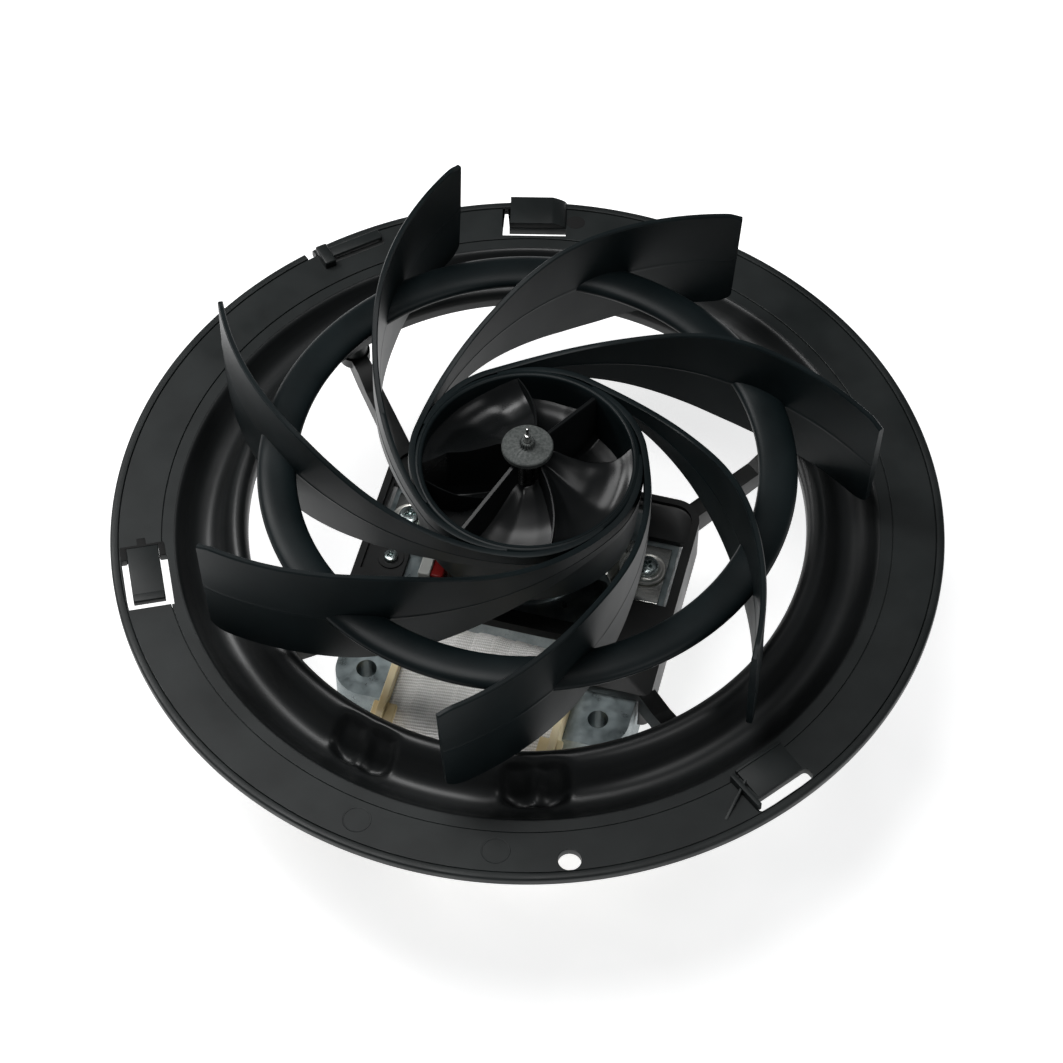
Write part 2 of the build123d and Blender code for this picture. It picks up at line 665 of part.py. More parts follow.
# ---------------------------------------------------------------- rotor
rotor_low_z = stack_low_z + 0.2
rotor_top_z = stack_top_z - 0.2
with BuildPart() as motor_shaft:
    with Locations(Pos(0, 0, lower_bridge_z - cup_h - 3)):
        Cylinder(
            shaft_r,
            boss_top_z - (lower_bridge_z - cup_h - 3),
            align=(Align.CENTER, Align.CENTER, Align.MIN),
        )
    with Locations(Pos(0, 0, boss_top_z - 0.1)):
        Cylinder(shaft_step_r, shaft_step_z - boss_top_z + 0.1, align=(Align.CENTER, Align.CENTER, Align.MIN))
    with Locations(Pos(0, 0, shaft_step_z - 0.1)):
        Cylinder(shaft_pip_r, shaft_tip_z - shaft_step_z + 0.1, align=(Align.CENTER, Align.CENTER, Align.MIN))
    chamfer(motor_shaft.faces().sort_by(Axis.Z)[0].edges(), 0.5)
motor_shaft.part.label = "motor_shaft"
export_step(motor_shaft.part, "parts/motor_shaft.step")

with BuildPart() as rotor_core:
    with Locations(Pos(0, 0, rotor_low_z)):
        Cylinder(rotor_r, rotor_top_z - rotor_low_z, align=(Align.CENTER, Align.CENTER, Align.MIN))
    Cylinder(shaft_r, 200, mode=Mode.SUBTRACT)
rotor_core.part.label = "rotor_core"
export_step(rotor_core.part, "parts/rotor_core.step")

with BuildPart() as rotor_end_rings:
    with Locations(Pos(0, 0, rotor_top_z)):
        Cylinder(rotor_r - 1.4, 3.6, align=(Align.CENTER, Align.CENTER, Align.MIN))
    with Locations(Pos(0, 0, rotor_low_z)):
        Cylinder(rotor_r - 1.4, 3.6, align=(Align.CENTER, Align.CENTER, Align.MAX))
    Cylinder(rotor_r - 8.4, 200, mode=Mode.SUBTRACT)
rotor_end_rings.part.label = "rotor_end_rings"
export_step(rotor_end_rings.part, "parts/rotor_end_rings.step")

# Thrust washers on the shaft, between the rotor and each bearing.
with BuildPart() as thrust_washers:
    with Locations(Pos(0, 0, upper_bridge_z - cup_h - 0.8)):
        Cylinder(4.8, 1.0, align=(Align.CENTER, Align.CENTER, Align.MIN))
    with Locations(Pos(0, 0, lower_bridge_z + cup_h + 0.8)):
        Cylinder(4.8, 1.0, align=(Align.CENTER, Align.CENTER, Align.MAX))
    Cylinder(shaft_r, 200, mode=Mode.SUBTRACT)
thrust_washers.part.label = "thrust_washers"
export_step(thrust_washers.part, "parts/thrust_washers.step")

# ---------------------------------------------------------------- wheel hub
# Cup with a thin rim, a centre boss, two straight ribs and dished panels between open pits.
floor_top_z = hub_base_z + hub_floor_t
panel_sectors = [(107.6, 89.0), (295.6, 82.0), (64.6, 43.0)]
vane_angles = [107.6, 196.6, 295.6, 17.6]
rib_angles = [64.6, 247.6]
with BuildPart() as wheel_hub:
    with BuildSketch(Plane.XY.offset(hub_base_z)):
        Circle(hub_outer_r)
        Circle(hub_inner_r, mode=Mode.SUBTRACT)
    extrude(amount=hub_top_z - hub_base_z)
    with BuildSketch(Plane.XY.offset(hub_base_z)):
        Circle(hub_inner_r + 0.4)
    extrude(amount=hub_floor_t)
    with BuildSketch(Plane.XY.offset(hub_base_z)):
        Circle(boss_r)
    extrude(amount=boss_top_z - hub_base_z)
    for first, sweep_deg in panel_sectors:
        with BuildSketch(Plane.XZ):
            with BuildLine():
                Spline(
                    (boss_r - 0.4, boss_top_z - 2.0),
                    (19.0, dish_edge_z + 1.0),
                    (hub_inner_r + 0.4, dish_edge_z + 2.4),
                    tangents=[(1, -1.4), (1, 0.5)],
                )
                Line((hub_inner_r + 0.4, dish_edge_z + 2.4), (hub_inner_r + 0.4, dish_edge_z + 2.4 - dish_t))
                Spline(
                    (hub_inner_r + 0.4, dish_edge_z + 2.4 - dish_t),
                    (19.0, dish_edge_z + 1.0 - dish_t),
                    (boss_r - 0.4, boss_top_z - 2.0 - 1.5 * dish_t),
                    tangents=[(-1, -0.5), (-1, 1.4)],
                )
                Line((boss_r - 0.4, boss_top_z - 2.0 - 1.5 * dish_t), (boss_r - 0.4, boss_top_z - 2.0))
            make_face()
        panel = revolve(axis=Axis.Z, revolution_arc=sweep_deg, mode=Mode.PRIVATE)
        add(Rot(0, 0, first) * panel)
    for angle in vane_angles:
        vane_plane = Plane(
            origin=(0, 0, 0),
            x_dir=(cos(radians(angle)), sin(radians(angle)), 0),
            z_dir=(sin(radians(angle)), -cos(radians(angle)), 0),
        )
        with BuildSketch(vane_plane.offset(-0.8)):
            Polygon(
                (boss_r - 0.4, floor_top_z - 0.2),
                (boss_r - 0.4, boss_top_z - 2.6),
                (12.0, boss_top_z - 8.4),
                (19.0, dish_edge_z + 0.6),
                (27.0, dish_edge_z + 0.2),
                (hub_inner_r + 0.3, dish_edge_z + 1.6),
                (hub_inner_r + 0.3, floor_top_z - 0.2),
                align=None,
            )
        extrude(amount=1.6)
    for angle in rib_angles:
        rib_plane = Plane(
            origin=(0, 0, 0),
            x_dir=(cos(radians(angle)), sin(radians(angle)), 0),
            z_dir=(sin(radians(angle)), -cos(radians(angle)), 0),
        )
        with BuildSketch(rib_plane.offset(-1.1)):
            Polygon(
                (boss_r - 0.4, floor_top_z - 0.2),
                (boss_r - 0.4, boss_top_z - 1.0),
                (hub_inner_r + 0.3, hub_top_z - 1.2),
                (hub_inner_r + 0.3, floor_top_z - 0.2),
                align=None,
            )
        extrude(amount=2.2)
    Cylinder(shaft_r, 200, mode=Mode.SUBTRACT)
wheel_hub.part.label = "wheel_hub"
export_step(wheel_hub.part, "parts/wheel_hub.step")

# Grey centre disc clamping the hub, with a small recess round the shaft tip.
with BuildPart() as centre_disc:
    with Locations(Pos(0, 0, boss_top_z)):
        Cylinder(cap_r, cap_t, align=(Align.CENTER, Align.CENTER, Align.MIN))
    with Locations(Pos(0, 0, boss_top_z + cap_t - cap_recess_deep)):
        Cylinder(cap_recess_r, 4, align=(Align.CENTER, Align.CENTER, Align.MIN), mode=Mode.SUBTRACT)
    with Locations(Pos(0, 0, boss_top_z)):
        Cylinder(shaft_step_r, 10, mode=Mode.SUBTRACT)
    chamfer(centre_disc.faces().sort_by(Axis.Z)[-1].edges().sort_by(SortBy.LENGTH)[-1], 0.4)
centre_disc.part.label = "centre_disc"
export_step(centre_disc.part, "parts/centre_disc.step")

# Stiffening ring half way up the blades, a flattened rounded section.
with BuildPart() as stiffening_ring:
    with BuildSketch(Plane.XZ):
        with Locations((brace_mid_r, brace_z)):
            Ellipse(brace_w / 2, brace_t / 2)
    revolve(axis=Axis.Z)
stiffening_ring.part.label = "stiffening_ring"
export_step(stiffening_ring.part, "parts/stiffening_ring.step")

# ---------------------------------------------------------------- blades
# Each blade is one arc in plan. It leaves the hub rim as a tangent and sweeps back to the wheel edge.
root_r = hub_outer_r + blade_t / 2
arc_from_axis = blade_arc_r - root_r
arc_x = (wheel_r**2 + arc_from_axis**2 - blade_arc_r**2) / (2 * wheel_r)
arc_y = -sqrt(arc_from_axis**2 - arc_x**2)
tip_heading = degrees(atan2(-arc_y, wheel_r - arc_x))
root_heading = degrees(atan2(-arc_y, -arc_x))


def arc_point(radius, heading):
    """A point on a circle about the centre of the blade arc."""
    return (arc_x + radius * cos(radians(heading)), arc_y + radius * sin(radians(heading)))


outer_arc_r = blade_arc_r + blade_t / 2
inner_arc_r = blade_arc_r - blade_t / 2
mid_heading = (tip_heading + root_heading) / 2
for number in range(blade_count):
    with BuildPart() as blade:
        with BuildSketch(Plane.XY.offset(blade_low_z - 1)):
            with BuildLine():
                ThreePointArc(
                    arc_point(outer_arc_r, tip_heading),
                    arc_point(outer_arc_r, mid_heading),
                    arc_point(outer_arc_r, root_heading - 2),
                )
                Line(arc_point(outer_arc_r, root_heading - 2), arc_point(inner_arc_r, root_heading))
                ThreePointArc(
                    arc_point(inner_arc_r, root_heading),
                    arc_point(inner_arc_r, mid_heading),
                    arc_point(inner_arc_r, tip_heading),
                )
                Line(arc_point(inner_arc_r, tip_heading), arc_point(outer_arc_r, tip_heading))
            make_face()
        extrude(amount=blade_top_z - blade_low_z + 4)
        # Height of the blade against its distance from the axis.
        with BuildSketch(Plane.XZ):
            Polygon(
                (hub_outer_r, blade_root_low),
                (hub_outer_r, blade_root_top),
                (54.0, 40.6),
                (64.0, 46.8),
                (72.0, 50.8),
                (80.0, blade_top_z),
                (104.0, blade_top_z),
                (wheel_r - 2.6, blade_top_z - 1.2),
                (wheel_r + 2, blade_top_z - 2.6),
                (wheel_r + 2, blade_low_z + 5.0),
                (wheel_r - 2.0, blade_low_z + 1.6),
                (wheel_r - 6.0, blade_low_z),
                (82.0, blade_low_z),
                (74.0, blade_low_z + 2.0),
                (64.0, 13.4),
                (54.0, 18.4),
                (44.0, 22.6),
                align=None,
            )
        revolve(axis=Axis.Z, mode=Mode.INTERSECT)
        with BuildSketch(Plane.XZ):
            with Locations((brace_mid_r, brace_z)):
                Ellipse(brace_w / 2, brace_t / 2)
        revolve(axis=Axis.Z, mode=Mode.SUBTRACT)
    turned = blade.part.rotate(Axis.Z, blade_phase - number * blade_pitch)
    turned.label = "blade_" + str(number + 1)
    export_step(turned, "parts/blade_" + str(number + 1) + ".step")
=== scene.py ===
import math
import bmesh
import bpy
import numpy as np
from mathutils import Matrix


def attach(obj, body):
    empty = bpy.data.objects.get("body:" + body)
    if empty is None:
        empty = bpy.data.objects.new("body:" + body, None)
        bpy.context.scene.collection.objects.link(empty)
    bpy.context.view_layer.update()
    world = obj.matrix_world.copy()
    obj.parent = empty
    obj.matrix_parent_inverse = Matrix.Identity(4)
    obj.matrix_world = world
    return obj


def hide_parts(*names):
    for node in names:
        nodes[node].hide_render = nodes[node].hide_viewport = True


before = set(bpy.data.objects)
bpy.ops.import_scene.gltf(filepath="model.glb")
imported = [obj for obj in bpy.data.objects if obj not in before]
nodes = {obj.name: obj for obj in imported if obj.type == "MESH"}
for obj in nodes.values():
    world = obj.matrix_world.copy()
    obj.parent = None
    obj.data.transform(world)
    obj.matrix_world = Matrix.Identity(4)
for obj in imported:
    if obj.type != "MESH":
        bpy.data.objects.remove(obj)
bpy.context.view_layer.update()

mm = 0.001

# ============================================================ inlet ring: trough and nozzle lip
# Injection-moulded black plastic, turned as one section about the spin axis: inner panel step,
# trough, steep slope and rolled lip, with two scooped pockets pressed into the slope at the front.
throat_r = 93.7
crest_r = 97.8
panel_r = 122.6
scoop_headings = (-105.9, -74.1)
scoop_mid_r = 103.2
scoop_depth = 5.0


def skin(name, grid, close_rows=False, close_cols=False, caps=False, layer=None, sharp=38.0):
    """Quad surface through a grid of points in millimetres, rows x columns x 3. A direction may close on
    itself, open ends of a closed section may be capped by a fan, and the faces are turned outward by the
    sign of the volume they enclose. layer, rows x columns x 2, becomes its own pattern coordinates."""
    rows, cols = grid.shape[:2]
    index = np.arange(rows * cols).reshape(rows, cols)
    if close_rows:
        index = np.vstack([index, index[:1]])
    if close_cols:
        index = np.hstack([index, index[:, :1]])
    quads = np.stack([index[:-1, :-1], index[1:, :-1], index[1:, 1:], index[:-1, 1:]], -1).reshape(-1, 4)
    points = grid.reshape(-1, 3)
    faces = quads.tolist()
    if caps:
        for row, turn in ((0, 1), (rows - 1, -1)):
            centre = len(points)
            points = np.vstack([points, grid[row].mean(0)])
            ring = index[row, :cols]
            pairs = zip(ring, np.roll(ring, -1))
            faces += [[int(a), int(b), centre][::turn] for a, b in pairs]
    fans = np.array([face if len(face) == 4 else face + face[-1:] for face in faces])
    p = points[fans]
    volume = np.einsum("ij,ij->i", p[:, 0], np.cross(p[:, 1], p[:, 2])).sum()
    volume += np.einsum("ij,ij->i", p[:, 0], np.cross(p[:, 2], p[:, 3])).sum()
    if volume < 0:
        faces = [face[::-1] for face in faces]
    mesh = bpy.data.meshes.new(name)
    mesh.from_pydata((points * mm).tolist(), [], faces)
    if layer is not None:
        flat = np.vstack([layer.reshape(-1, 2), np.zeros((len(points) - rows * cols, 2))])
        ends = np.zeros(len(mesh.loops), dtype=np.int32)
        mesh.loops.foreach_get("vertex_index", ends)
        mesh.uv_layers.new(name="pattern").data.foreach_set("uv", flat[ends].ravel())
    mesh.shade_smooth()
    mesh.set_sharp_from_angle(angle=math.radians(sharp))
    piece = bpy.data.objects.new(name, mesh)
    bpy.context.scene.collection.objects.link(piece)
    return piece


def finish_of(name, base, rough, metal=0.0):
    """A material ready for patterns; returns the material, its node tree and its shader."""
    material = bpy.data.materials.new(name)
    material.use_nodes = True
    tree = material.node_tree
    shader = tree.nodes["Principled BSDF"]
    shader.inputs["Base Color"].default_value = (*base, 1)
    shader.inputs["Roughness"].default_value = rough
    shader.inputs["Metallic"].default_value = metal
    return material, tree, shader


def noise_on(tree, scale, detail=3.0, stretch=(1, 1, 1), source="Object"):
    """A noise factor in the piece's own coordinates, stretched per axis."""
    where = tree.nodes.new("ShaderNodeTexCoord")
    mapping = tree.nodes.new("ShaderNodeMapping")
    mapping.inputs["Scale"].default_value = stretch
    noise = tree.nodes.new("ShaderNodeTexNoise")
    noise.inputs["Scale"].default_value = scale
    noise.inputs["Detail"].default_value = detail
    tree.links.new(where.outputs[source], mapping.inputs["Vector"])
    tree.links.new(mapping.outputs["Vector"], noise.inputs["Vector"])
    return noise.outputs["Fac"]


def spread(tree, factor, low, high, target, from_low=0.3, from_high=0.7):
    """A factor mapped onto a range of values for one input."""
    remap = tree.nodes.new("ShaderNodeMapRange")
    sockets = ("From Min", "From Max", "To Min", "To Max")
    for socket, value in zip(sockets, (from_low, from_high, low, high)):
        remap.inputs[socket].default_value = value
    tree.links.new(factor, remap.inputs["Value"])
    tree.links.new(remap.outputs["Result"], target)


def tint(tree, factor, dark, light, target, low=0.35, high=0.65):
    """A factor mapped onto a blend of two colours."""
    ramp = tree.nodes.new("ShaderNodeValToRGB")
    ramp.color_ramp.elements[0].position = low
    ramp.color_ramp.elements[1].position = high
    ramp.color_ramp.elements[0].color = (*dark, 1)
    ramp.color_ramp.elements[1].color = (*light, 1)
    tree.links.new(factor, ramp.inputs["Fac"])
    tree.links.new(ramp.outputs["Color"], target)


def relief(tree, shader, heights):
    """Stacked bumps: each height is (factor, depth in millimetres)."""
    last = None
    for factor, depth in heights:
        bump = tree.nodes.new("ShaderNodeBump")
        bump.inputs["Strength"].default_value = 1.0
        bump.inputs["Distance"].default_value = depth * mm
        tree.links.new(factor, bump.inputs["Height"])
        if last is not None:
            tree.links.new(last, bump.inputs["Normal"])
        last = bump.outputs["Normal"]
    tree.links.new(last, shader.inputs["Normal"])


def black_moulding(name, base, rough_low, rough_high, grain, seed_scale, gloss=0.36):
    """Moulded plastic: cloudy sheen, fine spark-eroded grain and faint flow marks."""
    material, tree, shader = finish_of(name, base, rough_low)
    lighter = tuple(1.5 * c + 0.002 for c in base)
    tint(tree, noise_on(tree, seed_scale, 5.0), base, lighter, shader.inputs["Base Color"])
    spread(tree, noise_on(tree, seed_scale * 0.6, 6.0), rough_low, rough_high, shader.inputs["Roughness"])
    relief(tree, shader, [(noise_on(tree, 2200.0, 2.0), grain), (noise_on(tree, 60.0, 3.0), grain * 1.6)])
    shader.inputs["Specular IOR Level"].default_value = gloss
    return material


satin_black = black_moulding("satin_black", (0.0060, 0.0080, 0.0080), 0.36, 0.62, 0.016, 55.0)
gloss_black = black_moulding("gloss_black", (0.0038, 0.0044, 0.0046), 0.24, 0.34, 0.003, 30.0, 0.30)
trough_black = black_moulding("trough_black", (0.0042, 0.0050, 0.0052), 0.34, 0.44, 0.005, 30.0, 0.46)
wheel_black = black_moulding("wheel_black", (0.0032, 0.0060, 0.0068), 0.34, 0.46, 0.005, 40.0, 0.17)


def smooth_line(points, count):
    """Smooth curve through the given points, by Catmull-Rom spans on chord length, then evenly resampled."""
    points = np.array(points, float)
    ends = np.vstack([2 * points[0] - points[1], points, 2 * points[-1] - points[-2]])
    chord = np.concatenate([[0], np.cumsum(np.linalg.norm(np.diff(ends, axis=0), axis=1))])
    u = np.linspace(chord[1], chord[-2], 8 * count)
    k = np.clip(np.searchsorted(chord, u, side="right") - 1, 1, len(ends) - 3)
    t = ((u - chord[k]) / (chord[k + 1] - chord[k]))[:, None]
    gap = (chord[k + 1] - chord[k])[:, None]
    into = (ends[k + 1] - ends[k - 1]) / (chord[k + 1] - chord[k - 1])[:, None] * gap
    away = (ends[k + 2] - ends[k]) / (chord[k + 2] - chord[k])[:, None] * gap
    line = (2 * t**3 - 3 * t**2 + 1) * ends[k] + (t**3 - 2 * t**2 + t) * into
    line += (-2 * t**3 + 3 * t**2) * ends[k + 1] + (t**3 - t**2) * away
    run = np.concatenate([[0], np.cumsum(np.linalg.norm(np.diff(line, axis=0), axis=1))])
    even = np.linspace(0, run[-1], count)
    return np.stack([np.interp(even, run, line[:, 0]), np.interp(even, run, line[:, 1])], -1)


def turned(section, count, heading=None):
    """A closed section in (radius, height) swept round the spin axis, in count even steps or through the
    headings given: rows go round, columns follow the section."""
    if heading is None:
        heading = np.linspace(0, 2 * math.pi, count, endpoint=False)
    turn = heading[:, None]
    radius = section[None, :, 0]
    height = section[None, :, 1] + 0 * turn
    return np.stack([radius * np.cos(turn), radius * np.sin(turn), height], -1)


def ring_section(upper_count):
    """Closed section of trough and lip: smooth upper line from the throat out to the panel, and a lower
    line back."""
    upper = smooth_line([
        (throat_r, -0.4), (throat_r + 0.15, 1.5), (94.7, 3.2), (96.3, 4.15), (crest_r, 4.2), (99.5, 3.3),
        (101.2, 1.2), (102.9, -1.6), (104.9, -4.6), (107.2, -6.1), (109.6, -6.4), (112.0, -5.75),
        (114.2, -4.2), (116.0, -2.3), (117.3, -0.85), (118.3, -0.28), (118.9, -0.40), (119.8, -0.95),
    ], upper_count)
    lower = smooth_line([
        (119.8, -2.9), (118.4, -3.0), (117.0, -3.4), (114.0, -6.6), (109.3, -8.8), (105.0, -7.6),
        (102.6, -5.0), (100.8, -2.0), (98.9, 0.9), (97.2, 1.2), (96.2, -0.6), (96.1, -2.3),
    ], 44)
    return np.vstack([upper, lower, [(95.8, -2.6), (94.1, -2.6), (throat_r, -2.2)]])


def with_scoops(grid):
    """Each scoop is a soft bowl sunk where the slope faces the motor, with a rounded ridge left standing
    across its middle; bowl and ridge fade with distance along the ring and off the axis."""
    plan = np.hypot(grid[..., 0], grid[..., 1])
    heading = np.degrees(np.arctan2(grid[..., 1], grid[..., 0]))
    sink = np.zeros(plan.shape)
    for scoop_heading in scoop_headings:
        off = np.radians(heading - scoop_heading) * plan
        rim = np.minimum(np.abs(off / 10.6) ** 2.6 + np.abs((plan - scoop_mid_r) / 6.2) ** 2.6, 30.0)
        ridge = np.exp(-((off / 2.8) ** 2))
        sink += scoop_depth * (1 - 0.5 * ridge) / (1 + np.exp((rim - 0.9) * 4.5))
    depth = np.clip((111.0 - plan) / 3.0, 0, 1) * np.clip((plan - 96.4) / 3.0, 0, 1) ** 2
    shaped = grid.copy()
    shaped[..., 2] -= sink * depth
    return shaped


scoop_sector = np.linspace(-126.0, -54.0, 260, endpoint=False)
plain_sector = np.linspace(-54.0, 234.0, 420, endpoint=False)
ring_turn = np.radians(np.concatenate([scoop_sector, plain_sector]))
ring_grid = with_scoops(turned(ring_section(76), 0, ring_turn))
ring_trough = skin("ring_trough", ring_grid, close_rows=True, close_cols=True)
ring_trough.data.materials.append(trough_black)
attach(ring_trough, "frame")
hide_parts("inlet_ring")

# Four bosses hang under the lip and take the screws of the cradle arms.
arm_boss_reach = 99.6
arm_boss_foot = -9.0
lip_r = [93.0, 96.3, 99.5, 101.2, 102.9, 104.9]
lip_z = [1.2, 2.8, 1.8, -0.4, -3.2, -6.0]
boss_turn = np.radians(np.linspace(0, 360, 48, endpoint=False))
for number, heading in enumerate((37.7, 142.3, -44.6, -135.4)):
    boss_x = arm_boss_reach * math.cos(math.radians(heading))
    boss_y = arm_boss_reach * math.sin(math.radians(heading))
    boss = np.zeros((48, 5, 3))
    for column, radius in enumerate((0.01, 4.3, 4.6, 4.6, 0.01)):
        boss[:, column, 0] = boss_x + radius * np.cos(boss_turn)
        boss[:, column, 1] = boss_y + radius * np.sin(boss_turn)
    boss[:, :3, 2] = (arm_boss_foot, arm_boss_foot, arm_boss_foot + 0.3)
    boss[:, 3:, 2] = np.interp(np.hypot(boss[:, 3:, 0], boss[:, 3:, 1]), lip_r, lip_z)
    arm_boss = skin("arm_boss_%d" % (number + 1), boss, close_rows=True, close_cols=True)
    arm_boss.data.materials.append(satin_black)
    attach(arm_boss, "frame")

# ============================================================ inlet ring: flange plate and rim line
# The flat outer flange of the same moulding, 3 mm thick with slightly broken edges, pierced for the
# latch window, hook slot, stop slot, ramp slot and screw hole; a thin raised line runs round the rim.
rim_line_r = 137.0
panel_inner_r = 118.5
groove_half = 0.10
flange_t = 3.0
latch_r = 129.4
latch_turn = 5.5


def polar(radius, heading):
    """Plan position from a distance off the axis and a heading in degrees."""
    a = math.radians(heading)
    return np.array([radius * math.cos(a), radius * math.sin(a)])


def tab_place(radius, heading, turn=0.0):
    """Origin and unit directions of a tab: along the rim counter-clockwise, and outward; both may be
    turned by a small angle."""
    a = math.radians(heading + turn)
    ahead = np.array([-math.sin(a), math.cos(a)])
    return polar(radius, heading), ahead, np.array([math.cos(a), math.sin(a)])


def on_tab(place, along, outward):
    """Plan points of a tab from distances along the rim and outward."""
    origin, ahead, out = place
    return origin + np.multiply.outer(along, ahead) + np.multiply.outer(outward, out)


def rounded_box(half_x, half_y, corner, count=6):
    """Corner points of a rectangle with rounded corners, centred on nothing, counter-clockwise."""
    turn = np.radians(np.linspace(0, 90, count))
    points = []
    for quarter, (sx, sy) in enumerate(((1, 1), (-1, 1), (-1, -1), (1, -1))):
        cx, cy = sx * (half_x - corner), sy * (half_y - corner)
        angle = turn + quarter * math.pi / 2
        points.append(np.stack([cx + corner * np.cos(angle), cy + corner * np.sin(angle)], -1))
    return np.vstack(points)


latch_place = tab_place(latch_r, -160.0, latch_turn)
hook_place = tab_place(124.0, 103.5)
stop_place = tab_place(131.2, 131.8)
ramp_place = tab_place(126.0, -38.2)


def plate(name, outlines, top, bottom, edge=0.22):
    """Flat plate filled between closed outlines in plan, with broken edges, from bottom to top height."""
    curve = bpy.data.curves.new(name + "_outline", "CURVE")
    curve.dimensions = "2D"
    curve.fill_mode = "BOTH"
    curve.bevel_depth = edge * mm
    curve.bevel_resolution = 2
    curve.offset = -edge * mm
    curve.extrude = ((top - bottom) / 2 - edge) * mm
    for outline in outlines:
        spline = curve.splines.new("POLY")
        spline.points.add(len(outline) - 1)
        flat = np.zeros((len(outline), 4))
        flat[:, :2] = np.asarray(outline) * mm
        flat[:, 3] = 1
        spline.points.foreach_set("co", flat.ravel())
        spline.use_cyclic_u = True
    maker = bpy.data.objects.new(name + "_outline", curve)
    bpy.context.scene.collection.objects.link(maker)
    bpy.context.view_layer.update()
    mesh = bpy.data.meshes.new_from_object(maker.evaluated_get(bpy.context.evaluated_depsgraph_get()))
    bpy.data.objects.remove(maker)
    heights = np.zeros(len(mesh.vertices) * 3)
    mesh.vertices.foreach_get("co", heights)
    heights = heights.reshape(-1, 3)
    heights[:, 2] += (top + bottom) / 2 * mm
    mesh.vertices.foreach_set("co", heights.ravel())
    mesh.name = name
    mesh.materials.clear()
    mesh.shade_smooth()
    mesh.set_sharp_from_angle(angle=math.radians(30))
    piece = bpy.data.objects.new(name, mesh)
    bpy.context.scene.collection.objects.link(piece)
    return piece


rim_turn = np.radians(np.linspace(0, 360, 720, endpoint=False))
outer_edge = rim_line_r * np.stack([np.cos(rim_turn), np.sin(rim_turn)], -1)


def edge_with_window(radius, inner_side):
    """Circle of a radius, open at the latch, where it follows the latch window: the window's far corner,
    its hinge-side corners and the two cheeks beside the tongue."""
    corners = on_tab(
        latch_place,
        np.array([5.2, 5.2, 0.1, 0.1, 5.2, 5.2, 25.2, 25.2]),
        np.array([-inner_side, -5.6, -5.6, 5.6, 5.6, 7.45, 7.45, -inner_side]),
    )
    first, last = corners[0], corners[-1]
    start = math.atan2(last[1], last[0])
    stop = math.atan2(first[1], first[0]) + 2 * math.pi
    turn = np.linspace(start, stop, 700)[1:-1]
    return np.vstack([radius * np.stack([np.cos(turn), np.sin(turn)], -1), corners])


inner_edge = edge_with_window(panel_r + groove_half, latch_r - panel_r - groove_half)
panel_inner = panel_inner_r * np.stack([np.cos(rim_turn), np.sin(rim_turn)], -1)
notch_points = on_tab(latch_place, np.array([5.2, 5.2, 25.2, 25.2]), np.array([-6.9, -7.8, -7.8, -6.9]))
notch_turn = np.arctan2(notch_points[:, 1], notch_points[:, 0])
panel_turn = np.linspace(notch_turn[3], notch_turn[0] + 2 * math.pi, 700)[1:-1]
panel_outer_r = panel_r - groove_half
panel_outer = np.vstack([
    panel_outer_r * np.stack([np.cos(panel_turn), np.sin(panel_turn)], -1),
    [panel_outer_r * np.array([math.cos(notch_turn[0]), math.sin(notch_turn[0])])],
    notch_points[1:3],
    [panel_outer_r * np.array([math.cos(notch_turn[3]), math.sin(notch_turn[3])])],
])
hook_slot = on_tab(
    hook_place,
    np.array([-11.3, 11.3, 11.3, 8.9, 8.9, -11.3]),
    np.array([0.0, 0.0, 12.4, 12.4, 2.9, 2.9]),
)
stop_box = rounded_box(9.8, 0.7, 0.5)
stop_slot = on_tab(stop_place, stop_box[:, 0], stop_box[:, 1])
ramp_box = rounded_box(11.0, 2.2, 1.5)
ramp_slot = on_tab(ramp_place, ramp_box[:, 0], 8.4 + ramp_box[:, 1])
screw_at = polar(133.1, -69.7)
screw_turn = np.radians(np.linspace(0, 360, 48, endpoint=False))
screw_hole = screw_at + 3.7 * np.stack([np.cos(screw_turn), np.sin(screw_turn)], -1)
flange_outlines = [outer_edge, inner_edge, hook_slot, stop_slot, ramp_slot, screw_hole]
ring_flange = plate("ring_flange", flange_outlines, 0.0, -flange_t)
ring_flange.data.materials.append(satin_black)
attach(ring_flange, "frame")

ring_panel = plate("ring_panel", [panel_outer, panel_inner], -0.2, -flange_t, 0.15)
ring_panel.data.materials.append(satin_black)
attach(ring_panel, "frame")

# Floor of the fine groove between panel and flange, open where the latch window lies.
groove_section = np.array([(121.9, -0.55), (123.3, -0.55), (123.3, -2.8), (121.9, -2.8)])
groove_turn = np.radians(np.linspace(-147.8, 201.8, 600))
groove_floor = skin("groove_floor", turned(groove_section, 0, groove_turn), close_cols=True, caps=True)

rim_section = np.array([
    (137.22, -0.8), (137.24, 0.02), (137.36, 0.18), (137.6, 0.24), (139.1, 0.22), (139.6, 0.06),
    (139.9, -0.35), (139.95, -0.9), (139.95, -2.6), (139.6, -3.0), (137.5, -3.0), (136.6, -2.8),
    (136.5, -1.5), (136.9, -0.85),
])
# The rim line is broken by one narrow notch beside the stop bar.
notch = np.radians(138.6)
notch_half = 0.012
rim_grid = turned(rim_section, 0, np.linspace(notch + notch_half, notch - notch_half + 2 * math.pi, 720))
ring_rim = skin("ring_rim", rim_grid, close_cols=True, caps=True)
for flange_piece in (groove_floor, ring_rim):
    flange_piece.data.materials.append(satin_black)
    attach(flange_piece, "frame")

# ============================================================ bayonet tabs on the flange
# Moulded with the ring: the raised hook tongue at the back, the stop bar with its end block, and the
# ramp pad with its short wall and gusset. All are plain plastic with broken edges.


